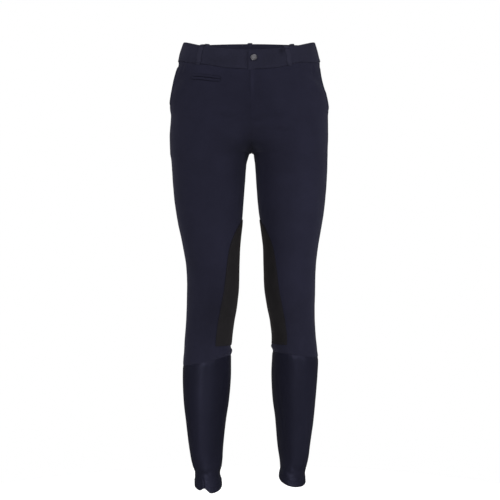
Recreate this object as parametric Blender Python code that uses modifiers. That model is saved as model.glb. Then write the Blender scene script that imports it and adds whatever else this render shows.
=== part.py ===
"""Riding breeches: a fitted pair with a contoured waistband, knee patches and tight stretch calves.

Metres, +Z up, the front faces -Y and the wearer's left is +X.  The origin is the middle of the
waist opening, level with the top of the band at the sides.

Every piece of cloth lies on one surface, the skin: skin(side, t, z) is the point on the outside
of the right (-1) or left (+1) half at height z.  t goes round one leg: 0 at the side, positive
over the front and negative over the back, to pi at the inside of the leg.
"""
import math
from bisect import bisect_right

import bpy
from mathutils import Vector

RIGHT, LEFT = -1, 1
MM = 0.001

# Cloth
PANEL_THICKNESS = 0.0012
BAND_THICKNESS = 0.0024
CALF_THICKNESS = 0.0010
PATCH_THICKNESS = 0.0013
SEAM_GAP = 0.0003
HALF_GAP = SEAM_GAP / 2
REST_GAP = 0.00045              # a piece lying on a curved panel, measured at its own corners
INSIDE_GAP = 0.0009             # a piece behind a curved panel

# Waist
BAND_HEIGHT = 0.0405
BAND_SEAM_SIDE = -0.0400        # height of the waist seam at the side
BAND_SEAM_DIP = 0.0276          # how much lower it runs at the centre front
BAND_SEAM_RISE = 0.0120         # and how much higher at the centre back
TAB_REACH = 0.0035              # the lapped end passes the middle by this
UNDERLAP_REACH = 0.030          # the end beneath it passes the middle by this
BAND_STEPS = 28                 # round each half
UNDERLAP_STEPS = 3              # along the end beneath
BAND_LEVELS = (0.0, 0.33, 0.67, 1.0)

# Crotch
CROTCH = -0.2355
CROTCH_SHIFT = 0.0032           # the crotch hangs this far to the wearer's left
SHIFT_START = -0.080
FRONT_CURVE_HEIGHT = 0.110      # height of the curved stretch of the front seam
FRONT_CURVE_POWER = 1.6
BACK_CURVE_HEIGHT = 0.135
BACK_CURVE_POWER = 1.4

# Pose: the legs swing from this height, the right one forward
SWING_TOP = -0.150
SWING_BOTTOM = -0.960
SWING = {RIGHT: -0.058, LEFT: 0.022}

# Below the knee: mean height of the calf seam, and how much higher it runs at the inside
CALF_SEAM = {RIGHT: (-0.6757, 0.0139), LEFT: (-0.6687, 0.0077)}

# Half breadths from the middle plane in millimetres, at each height in millimetres
BREADTH_COLUMNS = ("height", "right_outer", "right_inner", "left_outer", "left_inner")
BREADTHS = (
    (0, 143.0, -3.2, 139.5, 3.2),
    (-15, 148.0, -3.2, 143.7, 3.2),
    (-32, 152.9, -3.2, 148.3, 3.2),
    (-39, 154.6, -3.2, 150.8, 3.2),
    (-46, 153.5, -3.2, 149.8, 3.2),
    (-58, 157.5, -3.2, 151.3, 3.2),
    (-75, 162.4, -3.2, 153.6, 3.2),
    (-100, 168.4, -3.2, 160.6, 3.2),
    (-113, 170.8, -3.2, 164.7, 3.2),
    (-130, 172.9, -3.2, 168.1, 3.2),
    (-143, 172.2, -3.2, 169.0, 3.2),
    (-156, 170.2, -3.2, 167.8, 3.2),
    (-200, 172.8, -3.2, 168.4, 3.2),
    (-235.5, 171.5, -3.2, 167.2, 3.2),
    (-236.7, 171.4, 0.3, 167.2, 6.7),
    (-239.5, 171.1, 1.8, 167.1, 7.8),
    (-247, 169.6, 4.1, 166.9, 8.7),
    (-261, 167.8, 7.7, 166.6, 10.7),
    (-300, 165.2, 10.4, 164.8, 13.3),
    (-338, 161.7, 13.0, 161.4, 16.2),
    (-364, 157.7, 15.1, 158.6, 18.9),
    (-390, 153.1, 17.3, 154.6, 22.9),
    (-415, 147.4, 20.0, 150.2, 26.2),
    (-441, 142.1, 22.2, 145.8, 29.3),
    (-480, 135.6, 23.6, 141.3, 30.4),
    (-518, 133.8, 24.2, 139.4, 31.4),
    (-560, 134.3, 28.4, 139.2, 36.8),
    (-600, 136.3, 35.2, 140.3, 44.6),
    (-636, 139.2, 39.2, 142.6, 48.2),
    (-650, 139.8, 40.1, 144.2, 46.6),
    (-660, 140.2, 38.6, 145.0, 48.3),
    (-675, 141.3, 40.4, 146.6, 48.0),
    (-710, 141.8, 41.0, 145.0, 47.0),
    (-760, 139.8, 45.2, 141.4, 49.1),
    (-812, 133.9, 52.6, 136.2, 55.9),
    (-866, 126.9, 58.2, 128.8, 60.5),
    (-900, 120.4, 60.2, 124.7, 64.8),
    (-915, 116.2, 63.4, 121.8, 65.4),
    (-930, 116.9, 60.1, 119.6, 63.0),
    (-955, 116.0, 59.0, 121.0, 61.5),
)

# Front and back of the cloth in millimetres from the hip line, before a leg swings, and how
# square the section is (2 is an ellipse)
DEPTH_COLUMNS = ("height", "front", "back", "squareness")
DEPTHS = (
    (0, -98, 98, 2.15),
    (-40, -104, 108, 2.2),
    (-100, -112, 122, 2.25),
    (-150, -113, 128, 2.25),
    (-200, -107, 121, 2.2),
    (-235, -101, 108, 2.15),
    (-300, -92, 84, 2.05),
    (-400, -84, 66, 2.0),
    (-480, -77, 55, 2.0),
    (-550, -71, 50, 2.0),
    (-600, -63, 52, 2.0),
    (-680, -55, 60, 2.0),
    (-760, -46, 60, 2.0),
    (-840, -34, 52, 2.0),
    (-900, -26, 46, 2.0),
    (-925, -24, 44, 2.0),
    (-960, -27, 48, 2.0),
)

# Where the side seam lies, in degrees in front of the side
SIDE_SEAM_COLUMNS = ("height", "angle")
SIDE_SEAM = ((-40, 12), (-110, 12), (-160, 9), (-250, 4), (-400, 1), (-700, 1))

# The mouth of each side pocket: the front panel's edge stands off between these heights
MOUTH_TOP = -0.052
MOUTH_BOTTOM = -0.150
MOUTH_LIFT = 0.0014
MOUTH_FADE = 0.012

# Rows of the panels.  Down the centre seam: straight first, then by the angle at which the
# seam meets the section.  Down the leg: the height at the side seam and at the inseam.
STRAIGHT_ROWS = 2
CENTRE_SEAM_ANGLES = (94, 102, 114, 128, 142, 155, 168)
# LEG_ROWS columns: side, inseam
LEG_ROWS = (
    (-250, -236.7), (-264, -239.5), (-279, -247), (-297, -261), (-318, -287), (-340, -320),
    (-364, -353), (-389, -384), (-404, -400), (-422, -420), (-457, -456), (-492, -492),
    (-530, -530), (-566, -566), (-602, -602), (-645, -645), (-660, -652),
)
PANEL_COLUMNS = 13

# Knee patches: the panels' line PATCH_LINE follows the edge of the patch, in degrees round the
# leg at each height in millimetres; between the two heights the patch lies on the panels
PATCH_LINE = 8
PATCH_EDGE_COLUMNS = ("height", "front", "back")
PATCH_EDGE = (
    (-235, 111, 111), (-300, 120, 120), (-353, 142, 142), (-384, 161, 161), (-400, 147, 146),
    (-420, 135, 131), (-456, 124, 117), (-492, 119, 111), (-530, 114, 106), (-566, 112, 104),
    (-602, 111, 103), (-645, 110, 102), (-660, 110, 102),
)
PATCH_TOP = -0.384
PATCH_BOTTOM = -0.645

# Hems: height in millimetres at each angle round the leg; columns: angle, right, left
HEM = (
    (-135, -946, -941), (-90, -951, -947), (-45, -947, -949), (0, -944, -948), (20, -945.5, -950.5),
    (51, -948.5, -953.6), (73, -944, -953.8), (103, -953.5, -951.5), (150, -949, -943),
    (180, -943, -936), (225, -946, -941),
)
HEM_START = math.radians(HEM[0][0])
CALF_AROUND = 28
CALF_ROWS = (0.0, 0.05, 0.13, 0.23, 0.34, 0.46, 0.58, 0.70, 0.80, 0.87, 0.91, 0.94, 0.97, 1.0)

# Belt loops: where each crosses the band; columns: name, side, angle at its top and at its foot
LOOPS = (
    ("belt_loop_front_right", RIGHT, 48, 44.5),
    ("belt_loop_front_left", LEFT, 58, 57),
    ("belt_loop_back_right", RIGHT, -50, -50),
    ("belt_loop_back_left", LEFT, -50, -50),
    ("belt_loop_back_center", LEFT, -90, -90),
)
LOOP_WIDTH = 0.0105
LOOP_THICKNESS = 0.0014
# LOOP_PROFILE columns: share of the band's height, lift in millimetres
LOOP_PROFILE = ((-0.07, 0.6), (0.05, 0.9), (0.25, 2.4), (0.5, 2.8), (0.75, 2.4), (0.93, 1.2),
                (1.05, 1.0))

# Fly
FLY_TOP = -0.0700
ZIP_BOTTOM = -0.1400
UNDERLAP_BOTTOM = -0.1500
ZIP_SPAN = (0.004, 0.026)
ZIP_THICKNESS = 0.0008
UNDERLAP_SPAN = (-0.018, 0.034)
UNDERLAP_FADE = 0.016           # the underlap leaves the right front's inside over this
FLY_ROWS = 5
FLY_COLUMNS = 6

# Small welt pocket on the right front: ends of its slit, and the height of each lip
POCKET_OUTER_END = (0.1215, -0.0785)
POCKET_INNER_END = (0.0617, -0.0885)
WELT_HEIGHT = 0.0056
WELT_THICKNESS = 0.0010
WELT_STEPS = 9

# Button on the lapped end
BUTTON_PLACE = (0.0079, -0.0436)
BUTTON_RADIUS = 0.00675
# BUTTON_PROFILE columns: share of the radius, height in millimetres
BUTTON_PROFILE = ((0.0, 3.0), (0.55, 2.9), (0.72, 3.2), (0.9, 3.1), (1.0, 2.5), (1.0, 1.9),
                  (0.86, 1.5), (0.42, 1.4), (0.42, 0.0), (0.0, 0.0))
BUTTON_SEGMENTS = 20
BUTTON_MERGE = 0.00005

# Small steps for measuring the skin's slope, and the angle at which an edge is drawn sharp
SLOPE_TURN = 0.002
SLOPE_RISE = 0.0004
SEAM_TURN = 0.01
SHARP_ANGLE = math.radians(40)


class Profile:
    """A smooth line through one column of a table, with no overshoot between its rows."""

    def __init__(self, rows):
        self.x, self.y = zip(*sorted(rows))
        steps = [b - a for a, b in zip(self.x, self.x[1:])]
        rises = [(b - a) / h for a, b, h in zip(self.y, self.y[1:], steps)]
        middle = [2 * p * q / (p + q) if p * q > 0 else 0.0 for p, q in zip(rises, rises[1:])]
        self.slope = [rises[0]] + middle + [rises[-1]]

    def __call__(self, x):
        x = min(max(x, self.x[0]), self.x[-1])
        i = min(bisect_right(self.x, x) - 1, len(self.x) - 2)
        h = self.x[i + 1] - self.x[i]
        s = (x - self.x[i]) / h
        return ((1 + 2 * s) * (1 - s) ** 2 * self.y[i] + s * (1 - s) ** 2 * h * self.slope[i]
                + s * s * (3 - 2 * s) * self.y[i + 1] + s * s * (s - 1) * h * self.slope[i + 1])


def column(table, names, key, name, scale=MM):
    """The profile of one named column against another."""
    k, n = names.index(key), names.index(name)
    return Profile([(row[k] * MM, row[n] * scale) for row in table])


OUTER = {side: column(BREADTHS, BREADTH_COLUMNS, "height", word + "_outer")
         for side, word in ((RIGHT, "right"), (LEFT, "left"))}
INNER = {side: column(BREADTHS, BREADTH_COLUMNS, "height", word + "_inner")
         for side, word in ((RIGHT, "right"), (LEFT, "left"))}
FRONT = column(DEPTHS, DEPTH_COLUMNS, "height", "front")
BACK = column(DEPTHS, DEPTH_COLUMNS, "height", "back")
SQUARENESS = column(DEPTHS, DEPTH_COLUMNS, "height", "squareness", 1)
SEAM_ANGLE = column(SIDE_SEAM, SIDE_SEAM_COLUMNS, "height", "angle", math.pi / 180)
PATCH_SIDE = {front: column(PATCH_EDGE, PATCH_EDGE_COLUMNS, "height", word, math.pi / 180)
              for front, word in ((True, "front"), (False, "back"))}
HEM_HEIGHT = {side: Profile([(math.radians(row[0]), row[i] * MM) for row in HEM])
              for side, i in ((RIGHT, 1), (LEFT, 2))}


def ease(x):
    """0 to 1 with a soft start and end."""
    x = min(max(x, 0.0), 1.0)
    return x * x * (3 - 2 * x)


def middle_line(z):
    """Where the centre seams run, seen from the front."""
    return CROTCH_SHIFT * ease((SHIFT_START - z) / (SHIFT_START - CROTCH))


def seam_bend(z, front):
    """1 where the centre seam passes under the crotch, falling to 0 where it runs straight up."""
    height, power = ((FRONT_CURVE_HEIGHT, FRONT_CURVE_POWER) if front
                     else (BACK_CURVE_HEIGHT, BACK_CURVE_POWER))
    return max(1 - (z - CROTCH) / height, 0.0) ** power


def section(side, z, front):
    """Centre, half breadth, mid line, depth and squareness of one half's section."""
    shift = side * middle_line(z)
    outer = OUTER[side](z) - shift
    if z < CROTCH:
        inner = INNER[side](z) - shift
        half = (outer - inner) / 2
        centre = (outer + inner) / 2
    else:
        bend = seam_bend(z, front)
        half = outer / (1 + bend)
        centre = bend * half
    swing = SWING[side] * max((SWING_TOP - z) / (SWING_TOP - SWING_BOTTOM), 0.0)
    middle = (FRONT(z) + BACK(z)) / 2
    depth = (FRONT(z) if front else BACK(z)) - middle
    return centre, half, middle + swing, depth, SQUARENESS(z)


def skin(side, t, z):
    """Point on the outside of the cloth."""
    cosine, sine = math.cos(t), math.sin(t)
    centre, half, middle, depth, square = section(side, z, sine >= 0)
    across = centre + half * math.copysign(abs(cosine) ** (2 / square), cosine)
    along = middle + depth * abs(sine) ** (2 / square)
    return Vector((side * max(across, HALF_GAP) + middle_line(z), along, z))


def skin_normal(side, t, z):
    """Direction out of the cloth."""
    round_leg = skin(side, t + SLOPE_TURN, z) - skin(side, t - SLOPE_TURN, z)
    up = skin(side, t, z + SLOPE_RISE) - skin(side, t, z - SLOPE_RISE)
    return up.cross(round_leg).normalized() * side


def angle_at(side, across, z, front=True):
    """The angle t at which the section is this far from the middle plane."""
    centre, half, _, _, square = section(side, z, front)
    share = (across - centre) / half
    cosine = math.copysign(min(abs(share), 1.0) ** (square / 2), share)
    return math.acos(cosine) * (1 if front else -1)


def spot(side, t, z, lift=0.0):
    """A point lifted off the skin, with the direction out of it."""
    out = skin_normal(side, t, z)
    return skin(side, t, z) + out * lift, out


def wall(name, sheet, thickness, material, closed=False):
    """A cloth wall: the sheet's points are its outside, and its inside is a thickness in.

    The sheet is rows of (point, outward direction); closed joins each row's ends into a ring.
    """
    rows, columns = len(sheet), len(sheet[0])
    outside = [point for row in sheet for point, out in row]
    inside = [point - out * thickness for row in sheet for point, out in row]
    count = rows * columns
    spans = columns if closed else columns - 1
    faces = []
    for i in range(rows - 1):
        for j in range(spans):
            a, b = i * columns + j, i * columns + (j + 1) % columns
            c, d = b + columns, a + columns
            faces += [(a, b, c), (a, c, d)]
            faces += [(count + c, count + b, count + a), (count + d, count + c, count + a)]
    border = [(j, (j + 1) % columns) for j in range(spans)]
    last = (rows - 1) * columns
    border += [(last + b, last + a) for a, b in list(border)]
    if not closed:
        border += [((i + 1) * columns, i * columns) for i in range(rows - 1)]
        border += [(i * columns + columns - 1, (i + 1) * columns + columns - 1)
                   for i in range(rows - 1)]
    for a, b in border:
        faces += [(b, a, count + a), (b, count + a, count + b)]
    mesh = bpy.data.meshes.new(name)
    mesh.from_pydata(outside + inside, [], faces)
    mesh.validate()
    turn_outward(mesh)
    return add(name, mesh, material)


def turn_outward(mesh):
    """Flip every face if the closed mesh encloses a negative volume."""
    volume = 0.0
    points = [v.co for v in mesh.vertices]
    for face in mesh.polygons:
        a, b, c = (points[i] for i in face.vertices)
        volume += a.dot(b.cross(c))
    if volume < 0:
        mesh.flip_normals()


def add(name, mesh, material):
    """Link a mesh as a part, smooth except at its edges."""
    mesh.materials.append(material)
    mesh.shade_smooth()
    mesh.set_sharp_from_angle(angle=SHARP_ANGLE)
    part = bpy.data.objects.new(name, mesh)
    PARTS.objects.link(part)
    return part


def cloth(name, colour, roughness, metallic=0.0):
    material = bpy.data.materials.new(name)
    material.use_nodes = True
    shader = material.node_tree.nodes["Principled BSDF"]
    shader.inputs["Base Color"].default_value = (*colour, 1)
    shader.inputs["Roughness"].default_value = roughness
    shader.inputs["Metallic"].default_value = metallic
    return material


def waist_seam(t):
    """Height of the seam under the band."""
    change = -BAND_SEAM_DIP if t >= 0 else BAND_SEAM_RISE
    return BAND_SEAM_SIDE + change * math.sin(t) ** 2


def seam_shift(side, t, z):
    """The angle that takes half a seam gap at this place."""
    return HALF_GAP * SEAM_TURN / (skin(side, t + SEAM_TURN, z) - skin(side, t, z)).length


def centre_rows(front):
    """Heights at which the rows of a panel meet the centre seam, from the waist to the crotch."""
    height, power = ((FRONT_CURVE_HEIGHT, FRONT_CURVE_POWER) if front
                     else (BACK_CURVE_HEIGHT, BACK_CURVE_POWER))
    top = waist_seam(math.pi / 2 if front else -math.pi / 2) - SEAM_GAP
    curve_top = CROTCH + height
    heights = [top + (curve_top - top) * i / STRAIGHT_ROWS for i in range(STRAIGHT_ROWS + 1)]
    square = SQUARENESS(CROTCH)
    for degrees in CENTRE_SEAM_ANGLES:
        bend = (-math.cos(math.radians(degrees))) ** (2 / square)
        heights.append(CROTCH + height * (1 - bend ** (1 / power)))
    return heights + [CROTCH]


def panel_rows(front):
    """Height of each row at the side seam and at the centre seam or inseam."""
    upper = centre_rows(front)
    top = waist_seam(0.0) - SEAM_GAP
    rows = [(top + (CROTCH - top) * i / (len(upper) - 1), z) for i, z in enumerate(upper)]
    return rows + [(a * MM, b * MM) for a, b in LEG_ROWS]


def across_panel(start, edge, end, u):
    """The angle at share u of a row, whose line PATCH_LINE is held at the edge angle."""
    fold = PATCH_LINE / PANEL_COLUMNS
    if u < fold:
        return start + (edge - start) * u / fold
    return edge + (end - edge) * (u - fold) / (1 - fold)


def mouth_lift(z):
    """How far the front panel's edge stands off at the mouth of the side pocket."""
    return MOUTH_LIFT * ease((MOUTH_TOP - z) / MOUTH_FADE) * ease((z - MOUTH_BOTTOM) / MOUTH_FADE)


def panel(side, front):
    """The sheet of a front or back panel, from the waist seam to the calf seam.

    Its rows run one way round the leg: side to inseam in front, inseam to side behind.
    """
    facing = 1 if front else -1
    sheet = []
    for side_z, inner_z in panel_rows(front):
        start = SEAM_ANGLE(side_z)
        start += facing * seam_shift(side, start, side_z)
        if inner_z > CROTCH:
            end = angle_at(side, HALF_GAP, inner_z, front)
            edge = start + (end - start) * PATCH_LINE / PANEL_COLUMNS
        else:
            end = facing * (math.pi - seam_shift(side, math.pi - SEAM_TURN, inner_z))
            edge = facing * PATCH_SIDE[front](inner_z)
        line = []
        for j in range(PANEL_COLUMNS + 1):
            u = j / PANEL_COLUMNS
            z = side_z + (inner_z - side_z) * math.sin(u * math.pi / 2) ** 2
            line.append((across_panel(start, edge, end, u), z))
        sheet.append(line)
    sheet[0] = [(t, waist_seam(t) - SEAM_GAP) for t, z in sheet[0]]
    mean, rise = CALF_SEAM[side]
    sheet.append([(t, mean - rise * math.cos(t) + HALF_GAP) for t, z in sheet[-1]])
    points = [[spot(side, t, z) for t, z in line[::facing]] for line in sheet]
    if front:
        for line in points:
            point, out = line[0]
            line[0] = (point + out * mouth_lift(point.z), out)
    return points


def knee_patch(front, back):
    """The patch over the inside of the knee: the two panels' own points, moved out."""
    lift = PATCH_THICKNESS + SEAM_GAP
    levels = [z for side_z, z in panel_rows(True)]
    sheet = []
    for i, z in enumerate(levels):
        if PATCH_BOTTOM <= z <= PATCH_TOP:
            line = front[i][PATCH_LINE:] + back[i][:PANEL_COLUMNS + 1 - PATCH_LINE]
            sheet.append([(point + out * lift, out) for point, out in line])
    return sheet


def calf(side):
    """The rings of the tube below the calf seam, down to the hem."""
    mean, rise = CALF_SEAM[side]
    rings = []
    for share in CALF_ROWS:
        ring = []
        for j in range(CALF_AROUND):
            t = -math.pi + 2 * math.pi * j / CALF_AROUND
            top = mean - rise * math.cos(t) - HALF_GAP
            hem = HEM_HEIGHT[side](t if t >= HEM_START else t + 2 * math.pi)
            ring.append(spot(side, t, top + (hem - top) * share))
        rings.append(ring)
    return rings


def waistband():
    """The band from its lapped end, round the wearer's left and back, to the end beneath."""
    quarter = math.pi / 2
    lap = angle_at(LEFT, UNDERLAP_REACH, BAND_SEAM_SIDE)
    tab = angle_at(RIGHT, TAB_REACH, BAND_SEAM_SIDE)
    turns = [(RIGHT, tab), (RIGHT, (tab + quarter) / 2)]
    turns += [(LEFT, quarter - math.pi * i / BAND_STEPS) for i in range(BAND_STEPS)]
    turns += [(RIGHT, -quarter + math.pi * i / BAND_STEPS) for i in range(BAND_STEPS + 1)]
    turns += [(LEFT, quarter + (lap - quarter) * (i + 1) / UNDERLAP_STEPS)
              for i in range(UNDERLAP_STEPS)]
    tuck_start = len(turns) - 1 - 2 * UNDERLAP_STEPS
    sheet = []
    for level in BAND_LEVELS:
        line = []
        for i, (side, t) in enumerate(turns):
            z = waist_seam(t) + BAND_HEIGHT * level
            tuck = ease((i - tuck_start) / UNDERLAP_STEPS) * (BAND_THICKNESS + SEAM_GAP)
            line.append(spot(side, t, z, -tuck))
        sheet.append(line)
    return sheet


def belt_loop(side, top_angle, foot_angle):
    """A narrow strip over the band, standing off it between its two ends."""
    sheet = []
    for share, lift in LOOP_PROFILE:
        degrees = foot_angle + (top_angle - foot_angle) * min(max(share, 0.0), 1.0)
        t = math.radians(degrees)
        z = waist_seam(t) + BAND_HEIGHT * share
        point, out = spot(side, t, z, lift * MM + LOOP_THICKNESS)
        across = Vector((0, 0, 1)).cross(out).normalized() * LOOP_WIDTH / 2
        sheet.append([(point - across, out), (point, out), (point + across, out)])
    return sheet


def fly_strip(span, top, bottom, extra_depth=0.0):
    """A strip behind the fly; span is measured from the middle, towards the wearer's left.

    Its right end lies against the right front's inside, and extra_depth is how much farther
    in the rest lies, such as behind the zip.
    """
    sheet = []
    for i in range(FLY_ROWS + 1):
        z = top + (bottom - top) * i / FLY_ROWS
        line = []
        for j in range(FLY_COLUMNS + 1):
            x = span[0] + (span[1] - span[0]) * j / FLY_COLUMNS
            side = LEFT if x >= 0 else RIGHT
            depth = PANEL_THICKNESS + INSIDE_GAP
            depth += extra_depth * ease((x - span[0]) / UNDERLAP_FADE)
            line.append(spot(side, angle_at(side, abs(x), z), z, -depth))
        sheet.append(line)
    return sheet


def pocket_welt(above):
    """One lip of the small pocket: a strip on the right front, from its slit up or down."""
    sheet = []
    away = 1 if above else -1
    for edge in (HALF_GAP, WELT_HEIGHT):
        line = []
        for i in range(WELT_STEPS + 1):
            share = i / WELT_STEPS
            x = POCKET_OUTER_END[0] + (POCKET_INNER_END[0] - POCKET_OUTER_END[0]) * share
            z = POCKET_OUTER_END[1] + (POCKET_INNER_END[1] - POCKET_OUTER_END[1]) * share
            z += away * edge
            line.append(spot(RIGHT, angle_at(RIGHT, x, z), z, WELT_THICKNESS + REST_GAP))
        sheet.append(line)
    return sheet


def waist_button(material):
    """A turned shank button, standing on the lapped end of the band."""
    x, z = BUTTON_PLACE
    place, out = spot(LEFT, angle_at(LEFT, x, z), z, REST_GAP)
    points = [(BUTTON_RADIUS * share, 0, height * MM) for share, height in BUTTON_PROFILE]
    mesh = bpy.data.meshes.new("waist_button")
    mesh.from_pydata(points, [(i, i + 1) for i in range(len(points) - 1)], [])
    button = add("waist_button", mesh, material)
    turn = button.modifiers.new("Turn", "SCREW")
    turn.steps = turn.render_steps = BUTTON_SEGMENTS
    turn.use_merge_vertices = True
    turn.merge_threshold = BUTTON_MERGE
    button.location = place
    button.rotation_euler = out.to_track_quat("Z", "Y").to_euler()


def build():
    navy = cloth("navy_twill", (0.017, 0.017, 0.029), 0.85)
    satin = cloth("navy_satin", (0.012, 0.012, 0.020), 0.45)
    suede = cloth("dark_suede", (0.013, 0.012, 0.013), 0.90)
    metal = cloth("button_metal", (0.35, 0.34, 0.35), 0.35, 1.0)
    tape = cloth("zip_tape", (0.015, 0.015, 0.024), 0.70)
    wall("waistband", waistband(), BAND_THICKNESS, navy)
    for side, word in ((RIGHT, "right"), (LEFT, "left")):
        front, back = panel(side, True), panel(side, False)
        wall("front_" + word, front, PANEL_THICKNESS, navy)
        wall("back_" + word, back, PANEL_THICKNESS, navy)
        wall("knee_patch_" + word, knee_patch(front, back), PATCH_THICKNESS, suede)
        wall("calf_" + word, calf(side), CALF_THICKNESS, satin, closed=True)
    for name, side, top_angle, foot_angle in LOOPS:
        wall(name, belt_loop(side, top_angle, foot_angle), LOOP_THICKNESS, navy)
    wall("fly_zip", fly_strip(ZIP_SPAN, FLY_TOP, ZIP_BOTTOM), ZIP_THICKNESS, tape)
    behind_zip = ZIP_THICKNESS + SEAM_GAP
    underlap = fly_strip(UNDERLAP_SPAN, FLY_TOP, UNDERLAP_BOTTOM, behind_zip)
    wall("fly_underlap", underlap, PANEL_THICKNESS, navy)
    wall("pocket_welt_upper", pocket_welt(True), WELT_THICKNESS, navy)
    wall("pocket_welt_lower", pocket_welt(False), WELT_THICKNESS, navy)
    waist_button(metal)


for leftover in list(bpy.data.objects):
    bpy.data.objects.remove(leftover, do_unlink=True)
PARTS = bpy.data.collections.new("riding_breeches")
bpy.context.scene.collection.children.link(PARTS)
build()
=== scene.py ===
"""Riding breeches: the looks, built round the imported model.

Metres, +Z up, the front faces -Y and the wearer's left is +X.  The origin is the middle of the
waist opening.  Every piece of cloth lies on one surface, the skin: skin(side, t, z) is a point
of the right (-1) or left (+1) half at height z, where t goes round one leg: 0 at the side,
positive over the front and negative over the back, to pi at the inside of the leg.
"""
import math

import bpy
import numpy as np
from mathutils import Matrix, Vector


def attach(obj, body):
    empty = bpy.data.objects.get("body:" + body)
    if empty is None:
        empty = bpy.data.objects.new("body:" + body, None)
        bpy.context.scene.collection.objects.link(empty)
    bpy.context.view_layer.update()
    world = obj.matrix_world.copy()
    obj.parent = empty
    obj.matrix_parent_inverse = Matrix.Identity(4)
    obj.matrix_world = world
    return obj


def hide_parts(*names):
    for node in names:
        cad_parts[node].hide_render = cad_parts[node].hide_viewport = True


RIGHT, LEFT = -1, 1
WORD = {RIGHT: "right", LEFT: "left"}
MM = 0.001
QUARTER = math.pi / 2

# Cloth
PANEL_THICKNESS = 0.0011
BAND_THICKNESS = 0.0024
CALF_THICKNESS = 0.0009
PATCH_THICKNESS = 0.0012
PATCH_LIFT = 0.0004
SEAM_GAP = 0.0003
SEWN_GAP = 0.00002              # sewn edges touch
ALLOWANCE = 0.0045              # the seam allowance that runs on inside, behind the next piece
ALLOWANCE_THICKNESS = 0.0008
CENTRE_ALLOWANCE_WIDTH = 0.016
MOUTH_ALLOWANCE_WIDTH = 0.014
MOUTH_ALLOWANCE_GAP = 0.0011
MOUTH_ALLOWANCE_MORE = 0.009    # it runs on below the mouth
ALLOWANCE_ENDS = (-0.1515, -0.0292)   # of the centre seam: in front and behind
INSIDE_GAP = 0.0009             # between the pieces behind the fly

# Waist
BAND_HEIGHT = 0.0405
BAND_SEAM_SIDE = -0.0400
BAND_SEAM_DIP = 0.0276
BAND_SEAM_RISE = 0.0120
TAB_REACH = 0.0035
TAB_DROP = 0.0032
TAB_DROP_FADE = (0.015, 0.013)  # where its drop begins, and over what length
TAB_CORNERS = (0.0014, 0.0010)  # how far its end is rounded off below and above
TAB_STAND = (0.0004, 0.022, 0.010)   # how far it stands off, where, over what length
BAND_LIFT = 0.0004              # the band stands a little off the panels
UNDERLAP_REACH = 0.030
TAB_TUCK = 0.72                 # how far the band beneath has sunk under the lapped end
TUCK_REACH = 0.016              # and sinks over this length beside it
TUCK_ROWS = 4
TAB_ROLL = 0.0035               # the lapped end's edge rolls in over this length
TAB_THIN = 0.35                 # and thins and sinks
TAB_SINK = 0.00035
TAB_LEVEL = -0.05               # the height at which places across are taken
LAPPED_ROWS = 40
BAND_STEPS = 168                # half round
BAND_WAVE = (0.00035, 13, 0.6)  # rise, waves for each radian, start
BAND_PINCH = (-0.0006, 0.0050, 0.0032)   # depth, height above the seam, half width
BAND_PUCKERS = (0.00018, 0.006)          # rise and reach
BAND_FACE = (0.0012, 0.0006)    # what is deeper than this doesn't follow the outside
UNDER_STEPS = 12
# Across the band, from its lower edge up the outside, over the top and down the inside.
# Columns: height up the band (share), millimetres added to it, depth in millimetres
BAND_PROFILE = (
    (0, 0.0, 1.3), (0, 0.05, 0.8), (0, 0.3, 0.45), (0, 0.8, 0.2), (0, 1.8, 0.05), (0, 3.5, 0.0),
    (0.2, 0, -0.05), (0.35, 0, -0.1), (0.5, 0, -0.15), (0.65, 0, -0.1), (0.8, 0, -0.05),
    (1, -3.5, 0.0), (1, -1.8, 0.02), (1, -0.9, 0.15), (1, -0.35, 0.4), (1, -0.05, 0.8),
    (1, 0.0, 1.2), (1, -0.05, 1.6), (1, -0.4, 2.1), (1, -1.2, 2.35), (1, -3.5, 2.4),
    (0.75, 0, 2.4), (0.5, 0, 2.4), (0.25, 0, 2.4), (0, 3.5, 2.4), (0, 1.2, 2.35),
    (0, 0.4, 2.1), (0, 0.05, 1.7),
)
# Soft folds of the band.  Columns: side, angle in degrees, millimetres below its top, reach
# round in degrees and down in millimetres, rise in millimetres
BAND_FOLDS = (
    (RIGHT, 87, 24, 2.2, 9, -0.9), (LEFT, 80, 20, 2.6, 12, 0.6), (LEFT, 74, 14, 2.4, 14, -0.5),
    (LEFT, 67, 8, 3.0, 8, -0.9), (LEFT, 70, 30, 5.0, 5, 0.5), (RIGHT, 66, 10, 6.0, 4, -0.5),
    (RIGHT, 74, 18, 7.0, 4, 0.4), (RIGHT, 58, 24, 6.0, 6, -0.5), (RIGHT, 30, 14, 8.0, 8, 0.5),
    (LEFT, 42, 16, 8.0, 7, -0.5), (LEFT, 30, 26, 6.0, 6, 0.5), (RIGHT, 20, 30, 7.0, 6, -0.5),
    (RIGHT, -30, 20, 9.0, 8, -0.6), (LEFT, -28, 18, 9.0, 8, -0.6), (RIGHT, -70, 16, 8.0, 7, 0.5),
    (LEFT, -72, 22, 8.0, 7, -0.5),
)
# Where the seam under the band lies high or low.
# Columns: side, angle in degrees, change in millimetres, reach in degrees
SEAM_DRIFT = ((RIGHT, 57, 3.0, 17), (LEFT, 51, 5.0, 13), (LEFT, 22, -2.5, 9))

# Crotch
CROTCH = -0.2355
CROTCH_SHIFT = 0.0032
SHIFT_START = -0.080
FRONT_CURVE_HEIGHT = 0.110
FRONT_CURVE_POWER = 1.6
BACK_CURVE_HEIGHT = 0.135
BACK_CURVE_POWER = 1.4

# Pose: the legs swing from this height, the right one forward
SWING_TOP = -0.150
SWING_BOTTOM = -0.960
SWING = {RIGHT: -0.058, LEFT: 0.022}

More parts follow.
